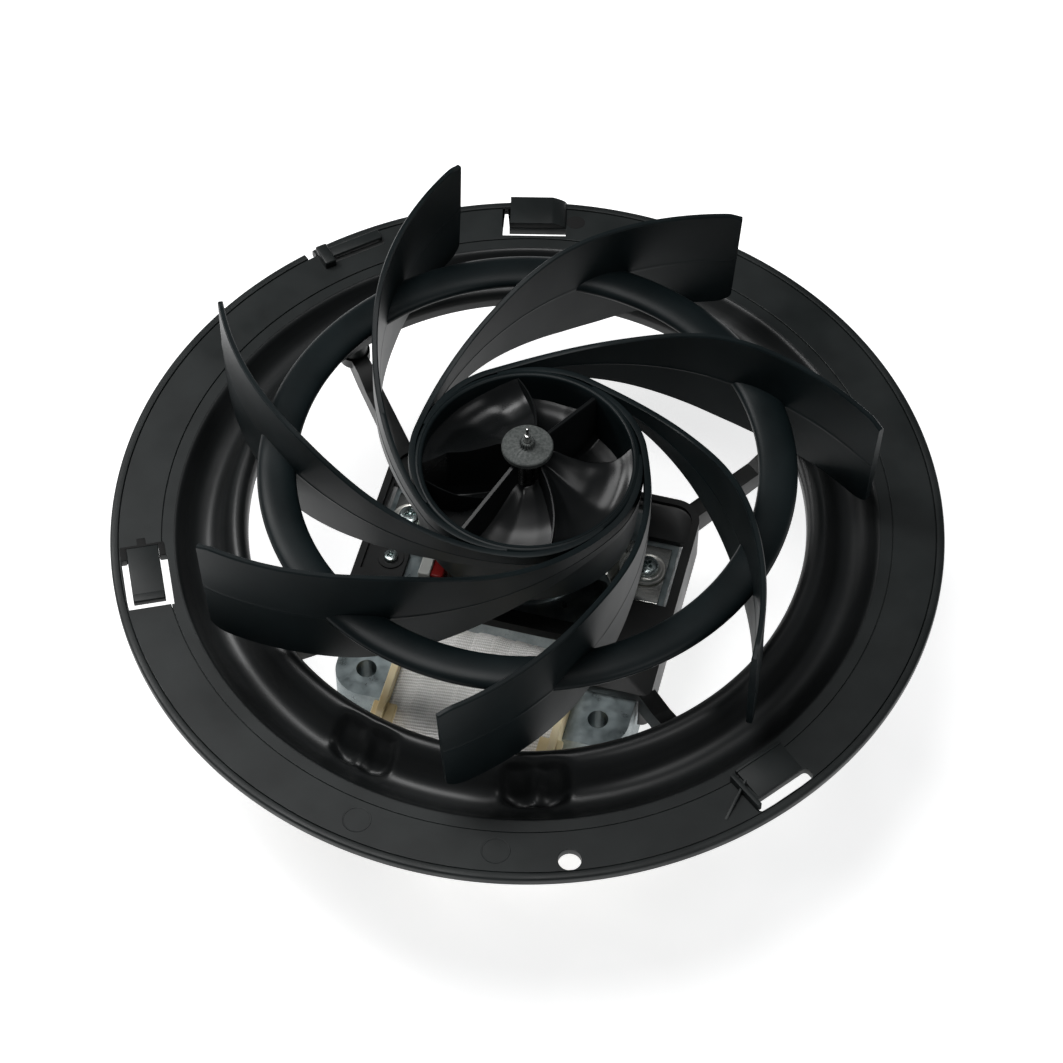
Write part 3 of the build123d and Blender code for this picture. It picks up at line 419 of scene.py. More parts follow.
def block(name, place, low, high, edge=0.35, tilt=0.0):
    """Box on a tab from (along, outward, height) to (along, outward, height), its top tilted outward."""
    x0, y0, z0 = low
    x1, y1, z1 = high
    corners = [(x0, y0, z0), (x1, y0, z0), (x1, y1, z0), (x0, y1, z0)]
    corners += [(x0, y0, z1), (x1, y0, z1), (x1, y1, z1 + tilt), (x0, y1, z1 + tilt)]
    corners = np.array(corners, float)
    plan = on_tab(place, corners[:, 0], corners[:, 1])
    points = np.column_stack([plan, corners[:, 2]]) * mm
    faces = [(3, 2, 1, 0), (4, 5, 6, 7), (0, 1, 5, 4), (1, 2, 6, 5), (2, 3, 7, 6), (3, 0, 4, 7)]
    mesh = bpy.data.meshes.new(name)
    mesh.from_pydata(points.tolist(), [], faces)
    normals = np.zeros(18)
    mesh.polygons.foreach_get("normal", normals)
    centre = points.mean(0)
    out = (points[list(faces[0])].mean(0) - centre) @ normals[:3]
    if out < 0:
        mesh.flip_normals()
    piece = bpy.data.objects.new(name, mesh)
    bpy.context.scene.collection.objects.link(piece)
    bevel = piece.modifiers.new("broken_edges", "BEVEL")
    bevel.width = edge * mm
    bevel.segments = 3
    mesh.shade_smooth()
    return piece


hook_h = 3.1
hook_along = np.linspace(-11.6, 8.6, 40)
hook_out = np.concatenate([[3.3], np.linspace(3.4, 15.9, 16), [16.0]])
hook_rise = hook_h * np.clip((hook_along + 11.6) / 5.0, 0, 1) ** 0.6
hook_top = np.zeros((40, 18, 3))
for column, out in enumerate(hook_out):
    hook_top[:, column, :2] = on_tab(hook_place, hook_along, np.full(40, out))
    edge_drop = 0.5 if column in (0, 17) else 0.0
    hook_top[:, column, 2] = hook_rise - edge_drop - 0.010 * (out - 9.0) ** 2
hook_low = hook_top[:, ::-1].copy()
hook_low[..., 2] -= 2.2
hook_tongue = skin("hook_tongue", np.concatenate([hook_top, hook_low], 1), close_cols=True, caps=True)
hook_tongue.data.materials.append(satin_black)

# Near-black oval just proud of the flange beyond the hook slot: painted shade where the hook's socket lies.
hook_socket_turn = np.radians(np.linspace(0, 360, 36, endpoint=False))
hook_socket_plan = on_tab(
    hook_place, -14.8 + 3.4 * np.cos(hook_socket_turn), 6.4 + 2.9 * np.sin(hook_socket_turn)
)
# Near-black matt material for flat patches that stand in for recesses: painted shade.
painted_recess_shade = black_moulding("painted_recess_shade", (0.002, 0.002, 0.002), 0.7, 0.85, 0.01, 60.0)
hook_socket_shade = skin(
    "hook_socket_shade",
    np.stack([np.column_stack([hook_socket_plan, np.full(36, h)]) for h in (0.06, -1.0)]),
    close_cols=True,
    caps=True,
)
hook_socket_shade.data.materials.append(painted_recess_shade)

stop_bar = block("stop_bar", stop_place, (-9.6, 0.8, -0.4), (10.4, 5.2, 1.7), 0.5)
stop_block = block("stop_block", stop_place, (10.0, -2.4, -0.4), (14.2, 6.6, 3.1), 0.6)
ramp_pad = block("ramp_pad", ramp_place, (-8.2, -5.2, -0.4), (9.8, 5.8, 1.1), 0.25, tilt=-1.0)
ramp_lip = block("ramp_lip", ramp_place, (-8.4, -5.9, -0.4), (10.0, -5.0, 1.5), 0.2)
ramp_wall = block("ramp_wall", ramp_place, (-11.6, -4.6, -0.4), (-9.9, 9.4, 3.0), 0.3)
# Thin fin that runs from the wall back across the flange, falling from the wall's height to nothing.
fin_run = np.linspace(0, 1, 24)
fin_along = -8.6 - 13.0 * fin_run
fin_out = -0.6 + 6.4 * fin_run
fin_top = 2.9 - 2.7 * fin_run
fin_section = ((-0.6, 0), (-0.5, 0.93), (-0.3, 1), (0.3, 1), (0.5, 0.93), (0.6, 0))
fin_grid = np.zeros((24, 6, 3))
for column, (aside, share) in enumerate(fin_section):
    fin_grid[:, column, :2] = on_tab(ramp_place, fin_along + 0.44 * aside, fin_out + 0.9 * aside)
    fin_grid[:, column, 2] = -0.4 + (fin_top + 0.4) * share
ramp_gusset = skin("ramp_gusset", fin_grid, close_cols=True, caps=True)
plain_tabs = (stop_bar, stop_block, ramp_pad, ramp_lip, ramp_wall, ramp_gusset)
for tab_piece in plain_tabs:
    tab_piece.data.materials.append(satin_black)
for tab_piece in (hook_tongue, hook_socket_shade, *plain_tabs):
    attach(tab_piece, "frame")

# ============================================================ moulding marks on the flange
# Two plain circular insert marks beside the screw hole: a fine raised ring with a blank centre.
for mark, mark_heading in enumerate((-99.9, -79.8)):
    mark_section = np.array([(4.1, -0.1), (4.2, 0.10), (4.55, 0.12), (4.75, -0.1)])
    mark_grid = turned(mark_section, 64)
    mark_grid[..., :2] += polar(129.6, mark_heading)
    insert_mark = skin("insert_mark_%d" % (mark + 1), mark_grid, close_rows=True, close_cols=True)
    insert_mark.data.materials.append(satin_black)
    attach(insert_mark, "frame")

# ============================================================ release latch
# The sprung tongue in the flange window, moulded with the ring and bending along a thin seam at one
# end; its free end carries a low lip. A small square pocket sits behind the seam.
latch_tongue = block("latch_tongue", latch_place, (0.45, -5.35, -2.2), (22.5, 5.35, 0.0), 0.3)
latch_lip = block("latch_lip", latch_place, (19.4, -5.2, -0.4), (22.4, 5.2, 0.25), 0.3)
for latch_piece in (latch_tongue, latch_lip):
    latch_piece.data.materials.append(satin_black)
    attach(latch_piece, "latch")
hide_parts("release_latch")
# Near-black blocks just proud of the flange: painted shade for the square pocket behind the seam, the seam
# itself and the cheeks beside the tongue.
latch_pocket_shade = block("latch_pocket_shade", latch_place, (-3.0, -1.5, -0.9), (0.25, 1.5, 0.05), 0.1)
latch_seam_shade = block("latch_seam_shade", latch_place, (-0.35, -7.3, -0.9), (0.5, 7.3, 0.06), 0.05)
latch_cheek_shade_in = block("latch_cheek_shade_in", latch_place, (0.3, -7.5, -2.4), (5.1, -5.38, 0.04), 0.05)
latch_cheek_shade_out = block("latch_cheek_shade_out", latch_place, (0.3, 5.38, -2.4), (5.1, 7.5, 0.04), 0.05)
for latch_piece in (latch_pocket_shade, latch_seam_shade, latch_cheek_shade_in, latch_cheek_shade_out):
    latch_piece.data.materials.append(painted_recess_shade)
    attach(latch_piece, "frame")

# ============================================================ wheel blades
# Seven tall backward-curved blades moulded with the hub in one black plastic. In plan each is one arc that
# leaves the hub as a tangent; draft makes it thickest at a fine parting line half way up.
wheel_r = 114.5
hub_outer_r = 37.3
blade_t = 2.6
blade_arc_r = 110.0
blade_phase = 116.4
brace_mid_r = 82.4
brace_z = 29.2
root_r = hub_outer_r + blade_t / 2
arc_from_axis = blade_arc_r - root_r
arc_x = (wheel_r**2 + arc_from_axis**2 - blade_arc_r**2) / (2 * wheel_r)
arc_y = -math.sqrt(arc_from_axis**2 - arc_x**2)
tip_angle = math.atan2(-arc_y, wheel_r - arc_x)
root_angle = math.atan2(-arc_y, -arc_x)
root_x = arc_x + blade_arc_r * math.cos(root_angle)
root_y = arc_y + blade_arc_r * math.sin(root_angle)
root_plan = math.atan2(root_y, root_x)


def blade_top(radius):
    """Height of the top edge: rises from the hub rim to the full height by the brace, then stays level."""
    at = [38.8, 46, 54, 64, 72, 80, 90, 112, 114.6]
    return np.interp(radius, at, [32.05, 36.1, 40.5, 46.6, 50.4, 52.0, 52.3, 52.0, 50.4])


def blade_foot(radius):
    """Height of the lower edge: falls from the hub to just above the ring, with a rounded outer corner."""
    level = np.interp(radius, [38, 44, 54, 64, 74, 82, 115], [24.8, 22.8, 18.4, 13.4, 8.8, 6.8, 6.8])
    corner = np.clip((radius - 109.6) / 5.0, 0, 0.98)
    return level + 5.0 * (1 - np.sqrt(1 - corner**2))


# Behind the tangent point the blade runs on round the hub, sinking into its wall.
wrap = np.radians(np.linspace(46.0, 0.0, 34, endpoint=False))
wrap_r = root_r - 2.2 * (wrap / wrap[0]) ** 1.3
sweep_steps = np.concatenate([np.linspace(0, 0.93, 96), np.linspace(0.935, 1, 22)])
sweep = root_angle + (tip_angle - root_angle) * sweep_steps
mid_x = np.concatenate([wrap_r * np.cos(root_plan + wrap), arc_x + blade_arc_r * np.cos(sweep)])
mid_y = np.concatenate([wrap_r * np.sin(root_plan + wrap), arc_y + blade_arc_r * np.sin(sweep)])
reach = np.hypot(mid_x, mid_y)
along = np.linspace(0, 1, len(reach))
across_x = np.gradient(mid_y)
across_y = -np.gradient(mid_x)
across_long = np.hypot(across_x, across_y)
across_x, across_y = across_x / across_long, across_y / across_long


def eased(line, window):
    """A line of values with its corners eased by a moving average, its two ends left as they are."""
    kernel = np.hanning(window + 2)[1:-1]
    padded = np.pad(line, window // 2, mode="edge")
    return np.convolve(padded, kernel / kernel.sum(), "valid")


top_line = eased(blade_top(reach), 9)
foot_line = blade_foot(reach)
foot_line[:126] = eased(foot_line, 9)[:126]
# Round each section: up one face, over the rounded top edge, down the other face, round the foot.
mid_levels = [0.474, 0.488, 0.500, 0.512, 0.526]
face = np.concatenate([np.linspace(0.012, 0.44, 10), mid_levels, np.linspace(0.56, 0.988, 10)])
level_of = np.concatenate([[0.0], face, [1.0], [1.0], face[::-1], [0.0]])
side_of = np.concatenate([[0.55], np.ones(25), [0.62], [-0.62], -np.ones(25), [-0.55]])
draft = 1.0 - 0.20 * np.abs(level_of - 0.5) * 2
parting = 0.13 * np.exp(-((level_of - 0.5) / 0.007) ** 2) * np.sign(side_of)
half_width = (blade_t / 2) * draft * side_of + parting
taper = 1.0 - 0.10 * along
offset = taper[:, None] * half_width[None, :]
rise = foot_line[:, None] + (top_line - foot_line)[:, None] * level_of[None, :]
# The end of the blade slants: its foot stops two millimetres short of its top.
short = 2.0 * np.clip((reach - 96.0) / 18.5, 0, 1)[:, None] * (1 - level_of[None, :])
blade_grid = np.stack([
    mid_x[:, None] + across_x[:, None] * offset + across_y[:, None] * short,
    mid_y[:, None] + across_y[:, None] * offset - across_x[:, None] * short,
    rise,
], -1)
for number in range(7):
    turn = math.radians(blade_phase - number * 360.0 / 7)
    spun = blade_grid.copy()
    spun[..., 0] = blade_grid[..., 0] * math.cos(turn) - blade_grid[..., 1] * math.sin(turn)
    spun[..., 1] = blade_grid[..., 0] * math.sin(turn) + blade_grid[..., 1] * math.cos(turn)
    fan_blade = skin("fan_blade_%d" % (number + 1), spun, close_cols=True, caps=True, sharp=28)
    fan_blade.data.materials.append(wheel_black)
    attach(fan_blade, "wheel")
    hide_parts("blade_%d" % (number + 1))

# ============================================================ stiffening ring
# Flattened round section moulded through all seven blades half way up; it grows a little taller where
# each blade passes through it.
brace_turn = np.linspace(0, 2 * math.pi, 630, endpoint=False)
brace_round = np.linspace(0, 2 * math.pi, 36, endpoint=False)
cross = np.interp(brace_mid_r, reach[34:], np.unwrap(np.arctan2(mid_y[34:], mid_x[34:])))
swell = np.zeros(brace_turn.shape)
for number in range(7):
    crossing = cross + math.radians(blade_phase - number * 360.0 / 7)
    gap = (brace_turn - crossing + math.pi) % (2 * math.pi) - math.pi
    swell += np.exp(-(gap * brace_mid_r / 5.5) ** 2)
brace_half_w = 6.45
brace_half_t = 2.8
bulge = 1 + 0.10 * swell[:, None]
shape_r = np.sign(np.cos(brace_round)) * np.abs(np.cos(brace_round)) ** 0.85
shape_z = np.sign(np.sin(brace_round)) * np.abs(np.sin(brace_round)) ** 0.95
brace_radius = brace_mid_r + brace_half_w * shape_r[None, :]
brace_height = brace_z + brace_half_t * shape_z[None, :] * bulge
brace_grid = np.stack([
    brace_radius * np.cos(brace_turn)[:, None],
    brace_radius * np.sin(brace_turn)[:, None],
    brace_height,
], -1)
wheel_brace = skin("wheel_brace", brace_grid, close_rows=True, close_cols=True)
wheel_brace.data.materials.append(wheel_black)
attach(wheel_brace, "wheel")
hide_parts("stiffening_ring")

# ============================================================ wheel hub
# Cup of the same moulding with a polished inside: thin rim, deep floor, centre boss, two straight ribs,
# and four dished panels that step up against each other like a swirl.
hub_inner_r = 34.6
hub_rim_z = 32.2
hub_floor_z = 5.0
swirl_in_r = 6.4
hub_section = np.vstack([
    [(34.9, 3.0), (36.2, 3.0), (36.6, 3.3), (hub_outer_r, 12.0), (hub_outer_r, 30.8)],
    smooth_line([(hub_outer_r, 31.2), (36.95, 31.9), (36.2, hub_rim_z)], 5),
    [(36.02, hub_rim_z), (35.92, 32.02), (35.82, hub_rim_z)],
    smooth_line([(35.5, hub_rim_z), (34.85, 31.95), (hub_inner_r, 31.3)], 5),
    [(hub_inner_r, 28.0), (34.55, 14.0), (34.5, hub_floor_z)],
])
hub_cup = skin("hub_cup", turned(hub_section, 240), close_rows=True, close_cols=True)
hub_cup.data.materials.append(wheel_black)
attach(hub_cup, "wheel")
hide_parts("wheel_hub")

# The inside of the cup is one surface. Half of it runs from a curved vane over a dished panel to a drop
# edge, across a deep pit to a straight rib, and up the lower panel to the other vane; then again.
vane_heading = (
    lambda r: np.interp(r, [8.6, 11.4, 23.0, 34.6], [88.0, 91.0, 100.6, 110.0]),
    lambda r: np.interp(r, [8.8, 15.0, 25.0, 35.0], [317.0, 312.0, 304.6, 296.6]),
)
drop_heading = (
    lambda r: np.interp(r, [8.0, 27.0, 34.6], [177.0, 182.0, 196.0]),
    lambda r: np.interp(r, [8.0, 28.0, 34.6], [372.0, 379.0, 384.0]),
)
rib_heading = (246.6, 424.6)
swirl_r = np.concatenate([np.linspace(swirl_in_r, 33.4, 52), [34.0, 34.8]])
reach_out = (swirl_r - swirl_in_r) / (hub_inner_r - swirl_in_r)
dish = np.interp(reach_out, [0, 0.06, 0.25, 0.5, 0.75, 0.92, 1.0], [9.5, 8.8, 4.6, 0.0, -1.6, -0.6, 2.4])
dish_window = np.hanning(17)[1:-1]
dish = np.convolve(np.pad(dish, 7, mode="edge"), dish_window / dish_window.sum(), "valid")
ceiling = np.interp(swirl_r, [swirl_in_r, 8.6, 14.0, hub_inner_r], [37.0, 36.8, 34.5, 31.0])
sweep_share = 0.5 - 0.5 * np.cos(np.linspace(0, math.pi, 61))
fine_share = np.linspace(0, 1, 600)
soft_window = np.hanning(123)[1:-1] / np.hanning(123)[1:-1].sum()
swirl_rows = []
for half in (0, 1):
    vane = vane_heading[half](swirl_r)
    drop = drop_heading[half](swirl_r)
    following = vane_heading[1 - half](swirl_r) + 360.0 * half
    for start, stop, shares, levels in (
        (vane, drop, [0, 0.05, 0.25, 0.55, 0.85, 1.0], [30.0, 28.2, 24.6, 23.4, 26.6, 29.0]),
        (drop, rib_heading[half], [0, 0.03, 0.10, 0.9, 1.0], [29.0, 12.0, 8.5, 9.5, 12.0]),
        (rib_heading[half], following, [0, 0.1, 0.4, 0.75, 1.0], [20.0, 19.0, 17.6, 18.4, 20.0]),
    ):
        fine_level = np.interp(fine_share, shares, levels)
        if start is not drop:
            fine_level = np.convolve(np.pad(fine_level, 60, mode="edge"), soft_window, "valid")
        for share in sweep_share:
            level = np.interp(share, fine_share, fine_level)
            shallow = 1 - 0.55 * min(max((24.0 - level) / 16.0, 0.0), 1.0)
            turn = np.radians(start + (stop - start) * share)
            height = np.minimum(level + dish * shallow, ceiling)
            swirl_rows.append(np.stack([swirl_r * np.cos(turn), swirl_r * np.sin(turn), height], -1))
swirl_top = np.array(swirl_rows)
swirl_low = swirl_top[:, ::-1].copy()
swirl_low[..., 2] = hub_floor_z - 0.001 * swirl_low[..., 2]
swirl_grid = np.concatenate([swirl_top, swirl_low], 1)
hub_swirl = skin("hub_swirl", swirl_grid, close_rows=True, close_cols=True, sharp=50)
hub_swirl.data.materials.append(gloss_black)
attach(hub_swirl, "wheel")


def upright_rib(name, radius, heading, top_in, top_out, thick):
    """Thin upright wall through plan points given as distances off the axis and headings: its top falls
    in a straight line from the inner to the outer end, and its top edge is rounded."""
    steps = np.linspace(0, 1, 34)
    radius = np.interp(steps, np.linspace(0, 1, len(radius)), radius)
    angle = np.radians(np.interp(steps, np.linspace(0, 1, len(heading)), heading))
    x, y = radius * np.cos(angle), radius * np.sin(angle)
    aside_x, aside_y = -np.gradient(y), np.gradient(x)
    long = np.hypot(aside_x, aside_y)
    crest = top_in + (top_out - top_in) * steps
    loop = np.array([(-1.0, 0), (-0.92, 0.975), (-0.5, 1.0), (0.5, 1.0), (0.92, 0.975), (1.0, 0)])
    grid = np.stack([
        x[:, None] + thick / 2 * loop[None, :, 0] * (aside_x / long)[:, None],
        y[:, None] + thick / 2 * loop[None, :, 0] * (aside_y / long)[:, None],
        hub_floor_z + (crest[:, None] - hub_floor_z) * loop[None, :, 1],
    ], -1)
    rib = skin(name, grid, close_cols=True, caps=True)
    rib.data.materials.append(gloss_black)
    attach(rib, "wheel")


vane_r = np.linspace(7.5, 34.8, 34)
for half in (0, 1):
    rib_at = rib_heading[half]
    upright_rib("hub_rib_%d" % (half + 1), [6.6, 34.9], [rib_at, rib_at], 36.2, 30.2, 2.2)
    upright_rib("hub_vane_%d" % (half + 1), vane_r, vane_heading[half](vane_r), 36.6, 31.0, 0.9)
    pit_vane_r = [13.5, 23.0, hub_inner_r]
    pit_vane_heading = [rib_at - 40.0, rib_at - 41.0, rib_at - 52.0]
    upright_rib("pit_vane_%d" % (half + 1), pit_vane_r, pit_vane_heading, 14.0, 21.0, 0.7)

# ============================================================ centre disc and shaft tip
# Matt grey pressed disc that clamps the hub, with a toothed collar round the bright ground shaft, whose
# tip is turned down in two steps.
disc_grey, tree, shader = finish_of("disc_grey", (0.06, 0.066, 0.063), 0.6)
disc_speck = noise_on(tree, 1400.0, 2.0)
tint(tree, disc_speck, (0.040, 0.046, 0.044), (0.085, 0.092, 0.088), shader.inputs["Base Color"])
spread(tree, noise_on(tree, 300.0, 4.0), 0.45, 0.62, shader.inputs["Roughness"])
relief(tree, shader, [(noise_on(tree, 1500.0, 3.0), 0.05)])
disc_section = np.array([
    (2.0, 37.5), (8.3, 37.5), (8.5, 37.7), (8.5, 39.2), (8.2, 39.55), (2.7, 39.6), (2.35, 39.9),
    (2.3, 41.4), (2.1, 41.8), (1.3, 41.8), (1.2, 39.0),
])
disc_steps = 144
collar_teeth = 18
hub_disc_grid = turned(disc_section, disc_steps)
tooth_turn = collar_teeth * np.arange(disc_steps) * 2 * math.pi / disc_steps
teeth = 1 + 0.09 * np.sign(np.sin(tooth_turn))
for column in (6, 7, 8):
    hub_disc_grid[:, column, :2] *= teeth[:, None]
hub_disc = skin("hub_disc", hub_disc_grid, close_rows=True, close_cols=True)
hub_disc.data.materials.append(disc_grey)
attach(hub_disc, "wheel")
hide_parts("centre_disc")

ground_steel, tree, shader = finish_of("ground_steel", (0.62, 0.62, 0.60), 0.22, 1.0)
spread(tree, noise_on(tree, 900.0, 3.0, (1, 1, 12)), 0.16, 0.34, shader.inputs["Roughness"])
shaft_lines = noise_on(tree, 500.0, 3.0, (1, 1, 8))
tint(tree, shaft_lines, (0.5, 0.5, 0.49), (0.7, 0.7, 0.68), shader.inputs["Base Color"])
shaft_section = np.array([
    (0.01, -70.8), (2.5, -70.8), (3.0, -70.3), (3.0, 37.3), (1.9, 37.45), (1.15, 39.0), (1.15, 44.6),
    (1.0, 45.0), (0.62, 45.1), (0.55, 45.4), (0.55, 47.8), (0.4, 48.15), (0.01, 48.3),
])
drive_shaft = skin("drive_shaft", turned(shaft_section, 40), close_rows=True, close_cols=True)
drive_shaft.data.materials.append(ground_steel)
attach(drive_shaft, "wheel")
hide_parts("motor_shaft")

# ============================================================ motor cradle
# Black moulded tray over the top of the motor, with four arms up to the ring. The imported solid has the
# right shape, so its faces are merged into one skin and given the small radii of a moulding.


def from_node(name, node_name, material, radius, body, segments=2):
    """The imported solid's own faces as one skin: doubles merged, flat areas joined, edges rounded by a
    bevel wherever two faces meet at more than 35 degrees."""
    form = bmesh.new()
    form.from_mesh(nodes[node_name].data)
    bmesh.ops.remove_doubles(form, verts=form.verts, dist=0.002 * mm)
    bmesh.ops.dissolve_limit(form, angle_limit=math.radians(1.0), verts=form.verts, edges=form.edges)
    mesh = bpy.data.meshes.new(name)
    form.to_mesh(mesh)
    form.free()
    mesh.materials.clear()
    mesh.materials.append(material)
    mesh.shade_smooth()
    mesh.set_sharp_from_angle(angle=math.radians(35))
    piece = bpy.data.objects.new(name, mesh)
    bpy.context.scene.collection.objects.link(piece)
    rounding = piece.modifiers.new("moulded_edges", "BEVEL")
    rounding.width = radius * mm
    rounding.segments = segments
    rounding.limit_method = "ANGLE"
    rounding.angle_limit = math.radians(35)
    rounding.use_clamp_overlap = True
    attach(piece, body)
    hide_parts(node_name)
    return piece


cradle_black = black_moulding("cradle_black", (0.006, 0.0064, 0.0064), 0.34, 0.50, 0.010, 70.0)
from_node("cradle_tray", "motor_cradle", cradle_black, 0.5, "frame")

# ============================================================ motor core
# Stack of zinc-coated steel sheets, punched and pressed together: cloudy plated faces, and fine sheet
# lines wherever the stack is seen from the side. The copper shading rings lie in its poles.
sheet_t = 0.65


def plated(name, base, rough_low, rough_high, bloom, metal=1.0):
    """Plated steel: cloudy bloom in colour and sheen, and fine draw lines."""
    material, tree, shader = finish_of(name, base, rough_low, metal)
    darker = tuple(0.72 * c for c in base)
    tint(tree, noise_on(tree, bloom, 6.0), darker, base, shader.inputs["Base Color"], 0.3, 0.7)
    spread(tree, noise_on(tree, bloom * 3, 4.0), rough_low, rough_high, shader.inputs["Roughness"])
    draw_lines = noise_on(tree, 500.0, 3.0, (1, 9, 1))
    relief(tree, shader, [(draw_lines, 0.012), (noise_on(tree, 90.0, 2.0), 0.03)])
    return material


def maths(tree, operation, first, second):
    """One sum on two inputs, each a socket or a number."""
    step = tree.nodes.new("ShaderNodeMath")
    step.operation = operation
    for socket, value in zip(step.inputs, (first, second)):
        if isinstance(value, (int, float)):
            socket.default_value = value
        else:
            tree.links.new(value, socket)
    return step.outputs[0]


core_sheets, tree, shader = finish_of("core_sheets", (0.50, 0.53, 0.55), 0.36, 1.0)
place = tree.nodes.new("ShaderNodeSeparateXYZ")
tree.links.new(tree.nodes.new("ShaderNodeTexCoord").outputs["Object"], place.inputs["Vector"])
facing = tree.nodes.new("ShaderNodeSeparateXYZ")
tree.links.new(tree.nodes.new("ShaderNodeNewGeometry").outputs["Normal"], facing.inputs["Vector"])
upright = maths(tree, "SUBTRACT", 1.0, maths(tree, "ABSOLUTE", facing.outputs["Z"], 0.0))
stripe_turn = maths(tree, "MULTIPLY", place.outputs["Z"], 2 * math.pi / (sheet_t * mm))
stripe = maths(tree, "SINE", stripe_turn, 0.0)
edge_line = maths(tree, "MULTIPLY", stripe, upright)
cloud = maths(tree, "ADD", maths(tree, "MULTIPLY", edge_line, 0.35), noise_on(tree, 150.0, 6.0))
# The plating tint runs far darker than bare zinc: partly the cloudy plated tone, partly painted shade for
# the core lying in shadow under the ring.
tint(tree, cloud, (0.13, 0.16, 0.165), (0.36, 0.41, 0.42), shader.inputs["Base Color"], 0.2, 0.8)
spread(tree, noise_on(tree, 260.0, 4.0), 0.26, 0.44, shader.inputs["Roughness"])
relief(tree, shader, [(edge_line, 0.10), (noise_on(tree, 300.0, 4.0), 0.02)])
from_node("core_stack", "stator_core", core_sheets, 0.22, "frame")
from_node("coil_bar", "core_bar", core_sheets, 0.22, "frame")
copper_bare = plated("copper_bare", (0.72, 0.34, 0.19), 0.25, 0.4, 90.0)
from_node("pole_rings", "shading_rings", copper_bare, 0.5, "frame")
from_node("rotor_stack", "rotor_core", core_sheets, 0.3, "wheel")
cast_metal = plated("cast_metal", (0.66, 0.67, 0.68), 0.4, 0.6, 220.0)
from_node("rotor_rings", "rotor_end_rings", cast_metal, 0.5, "wheel")

# ============================================================ coil: bobbin, winding and tape
# Cream nylon bobbin pushed on the core bar, copper winding inside, and an outer wrap of off-white woven
# tape, wound in half-lapped turns so that every turn shows a soft diagonal step.
coil_y = -60.0
coil_z = -35.0
coil_half = 22.6
coil_corner = 8.0
coil_half_x = 27.4
tape_step = 6.3
weft_step = 1.15
warp_step = 0.62

cream_nylon, tree, shader = finish_of("cream_nylon", (0.78, 0.66, 0.40), 0.42)
tint(tree, noise_on(tree, 80.0, 4.0), (0.70, 0.55, 0.29), (0.84, 0.73, 0.47), shader.inputs["Base Color"])
spread(tree, noise_on(tree, 50.0, 3.0), 0.34, 0.5, shader.inputs["Roughness"])
relief(tree, shader, [(noise_on(tree, 700.0, 3.0), 0.03)])
shader.inputs["Subsurface Weight"].default_value = 0.12
shader.inputs["Subsurface Radius"].default_value = (0.003, 0.002, 0.001)
from_node("coil_bobbin", "bobbin", cream_nylon, 0.5, "frame")

tape_x = np.linspace(-coil_half_x, coil_half_x, 150)
half_side = coil_half - coil_corner
corner_count = 24
side_count = 36
quarter = np.linspace(0, math.pi / 2, corner_count, endpoint=False)
straight = np.linspace(-half_side, half_side, side_count, endpoint=False)
loop = []
for sector in range(4):
    bend = np.stack([
        half_side + coil_corner * np.cos(quarter), half_side + coil_corner * np.sin(quarter)
    ], -1)
    run = np.stack([-straight, np.full(side_count, coil_half)], -1)
    part = np.vstack([bend, run])
    spin = sector * math.pi / 2
    loop.append(part @ np.array([[math.cos(spin), math.sin(spin)], [-math.sin(spin), math.cos(spin)]]))
loop = np.vstack(loop)
loop_next = np.roll(loop, -1, 0)
loop_dir = loop_next - np.roll(loop, 1, 0)
loop_out = np.stack([loop_dir[:, 1], -loop_dir[:, 0]], -1)
loop_out /= np.linalg.norm(loop_out, axis=1)[:, None]
loop_at = np.concatenate([[0], np.cumsum(np.linalg.norm(loop_next - loop, axis=1))[:-1]])
loop_long = loop_at[-1] + np.linalg.norm(loop[0] - loop[-1])
grid_x, grid_s = np.meshgrid(tape_x, loop_at, indexing="ij")
lap = (grid_x / tape_step + grid_s / loop_long) % 1.0
lap_height = 0.42 * (1 - lap) ** 0.7 * np.clip(lap / 0.06, 0, 1)
crown = 0.9 * (1 - np.abs(grid_x / coil_half_x) ** 3)
waver = 0.16 * np.sin(grid_s * 0.31 + grid_x * 0.22) + 0.12 * np.sin(grid_s * 0.12 - grid_x * 0.5)
proud = crown + lap_height + waver - 1.70
tape_grid = np.stack([
    grid_x,
    coil_y + loop[None, :, 0] + proud * loop_out[None, :, 0],
    coil_z + loop[None, :, 1] + proud * loop_out[None, :, 1],
], -1)
tape_layer = np.stack([grid_x, grid_s], -1)
coil_wrap = skin("coil_wrap", tape_grid, close_cols=True, caps=True, layer=tape_layer, sharp=60)

woven_tape, tree, shader = finish_of("woven_tape", (0.78, 0.77, 0.74), 0.75)
split = tree.nodes.new("ShaderNodeSeparateXYZ")
layer = tree.nodes.new("ShaderNodeUVMap")
layer.uv_map = "pattern"
tree.links.new(layer.outputs["UV"], split.inputs["Vector"])
skewed = maths(tree, "ADD", split.outputs["Y"], maths(tree, "MULTIPLY", split.outputs["X"], 0.10))
weft = maths(tree, "SINE", maths(tree, "MULTIPLY", skewed, 2 * math.pi / weft_step), 0.0)
warp_turn = maths(tree, "MULTIPLY", split.outputs["X"], 2 * math.pi / warp_step)
warp = maths(tree, "SINE", warp_turn, 0.0)
weave = maths(tree, "ADD", weft, maths(tree, "MULTIPLY", warp, 0.45))
fuzz = noise_on(tree, 3000.0, 3.0)
shade = maths(tree, "ADD", maths(tree, "MULTIPLY", weave, 0.22), noise_on(tree, 70.0, 5.0))
tint(tree, shade, (0.52, 0.51, 0.48), (0.86, 0.85, 0.83), shader.inputs["Base Color"], 0.15, 0.75)
relief(tree, shader, [(weave, 0.10), (fuzz, 0.06)])
shader.inputs["Sheen Weight"].default_value = 0.2
coil_wrap.data.materials.append(woven_tape)
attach(coil_wrap, "frame")
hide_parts("coil_tape", "coil_winding")

# A forked peg on the front edge of each bobbin flange, where a lead end is tied off, with a ledge on top.


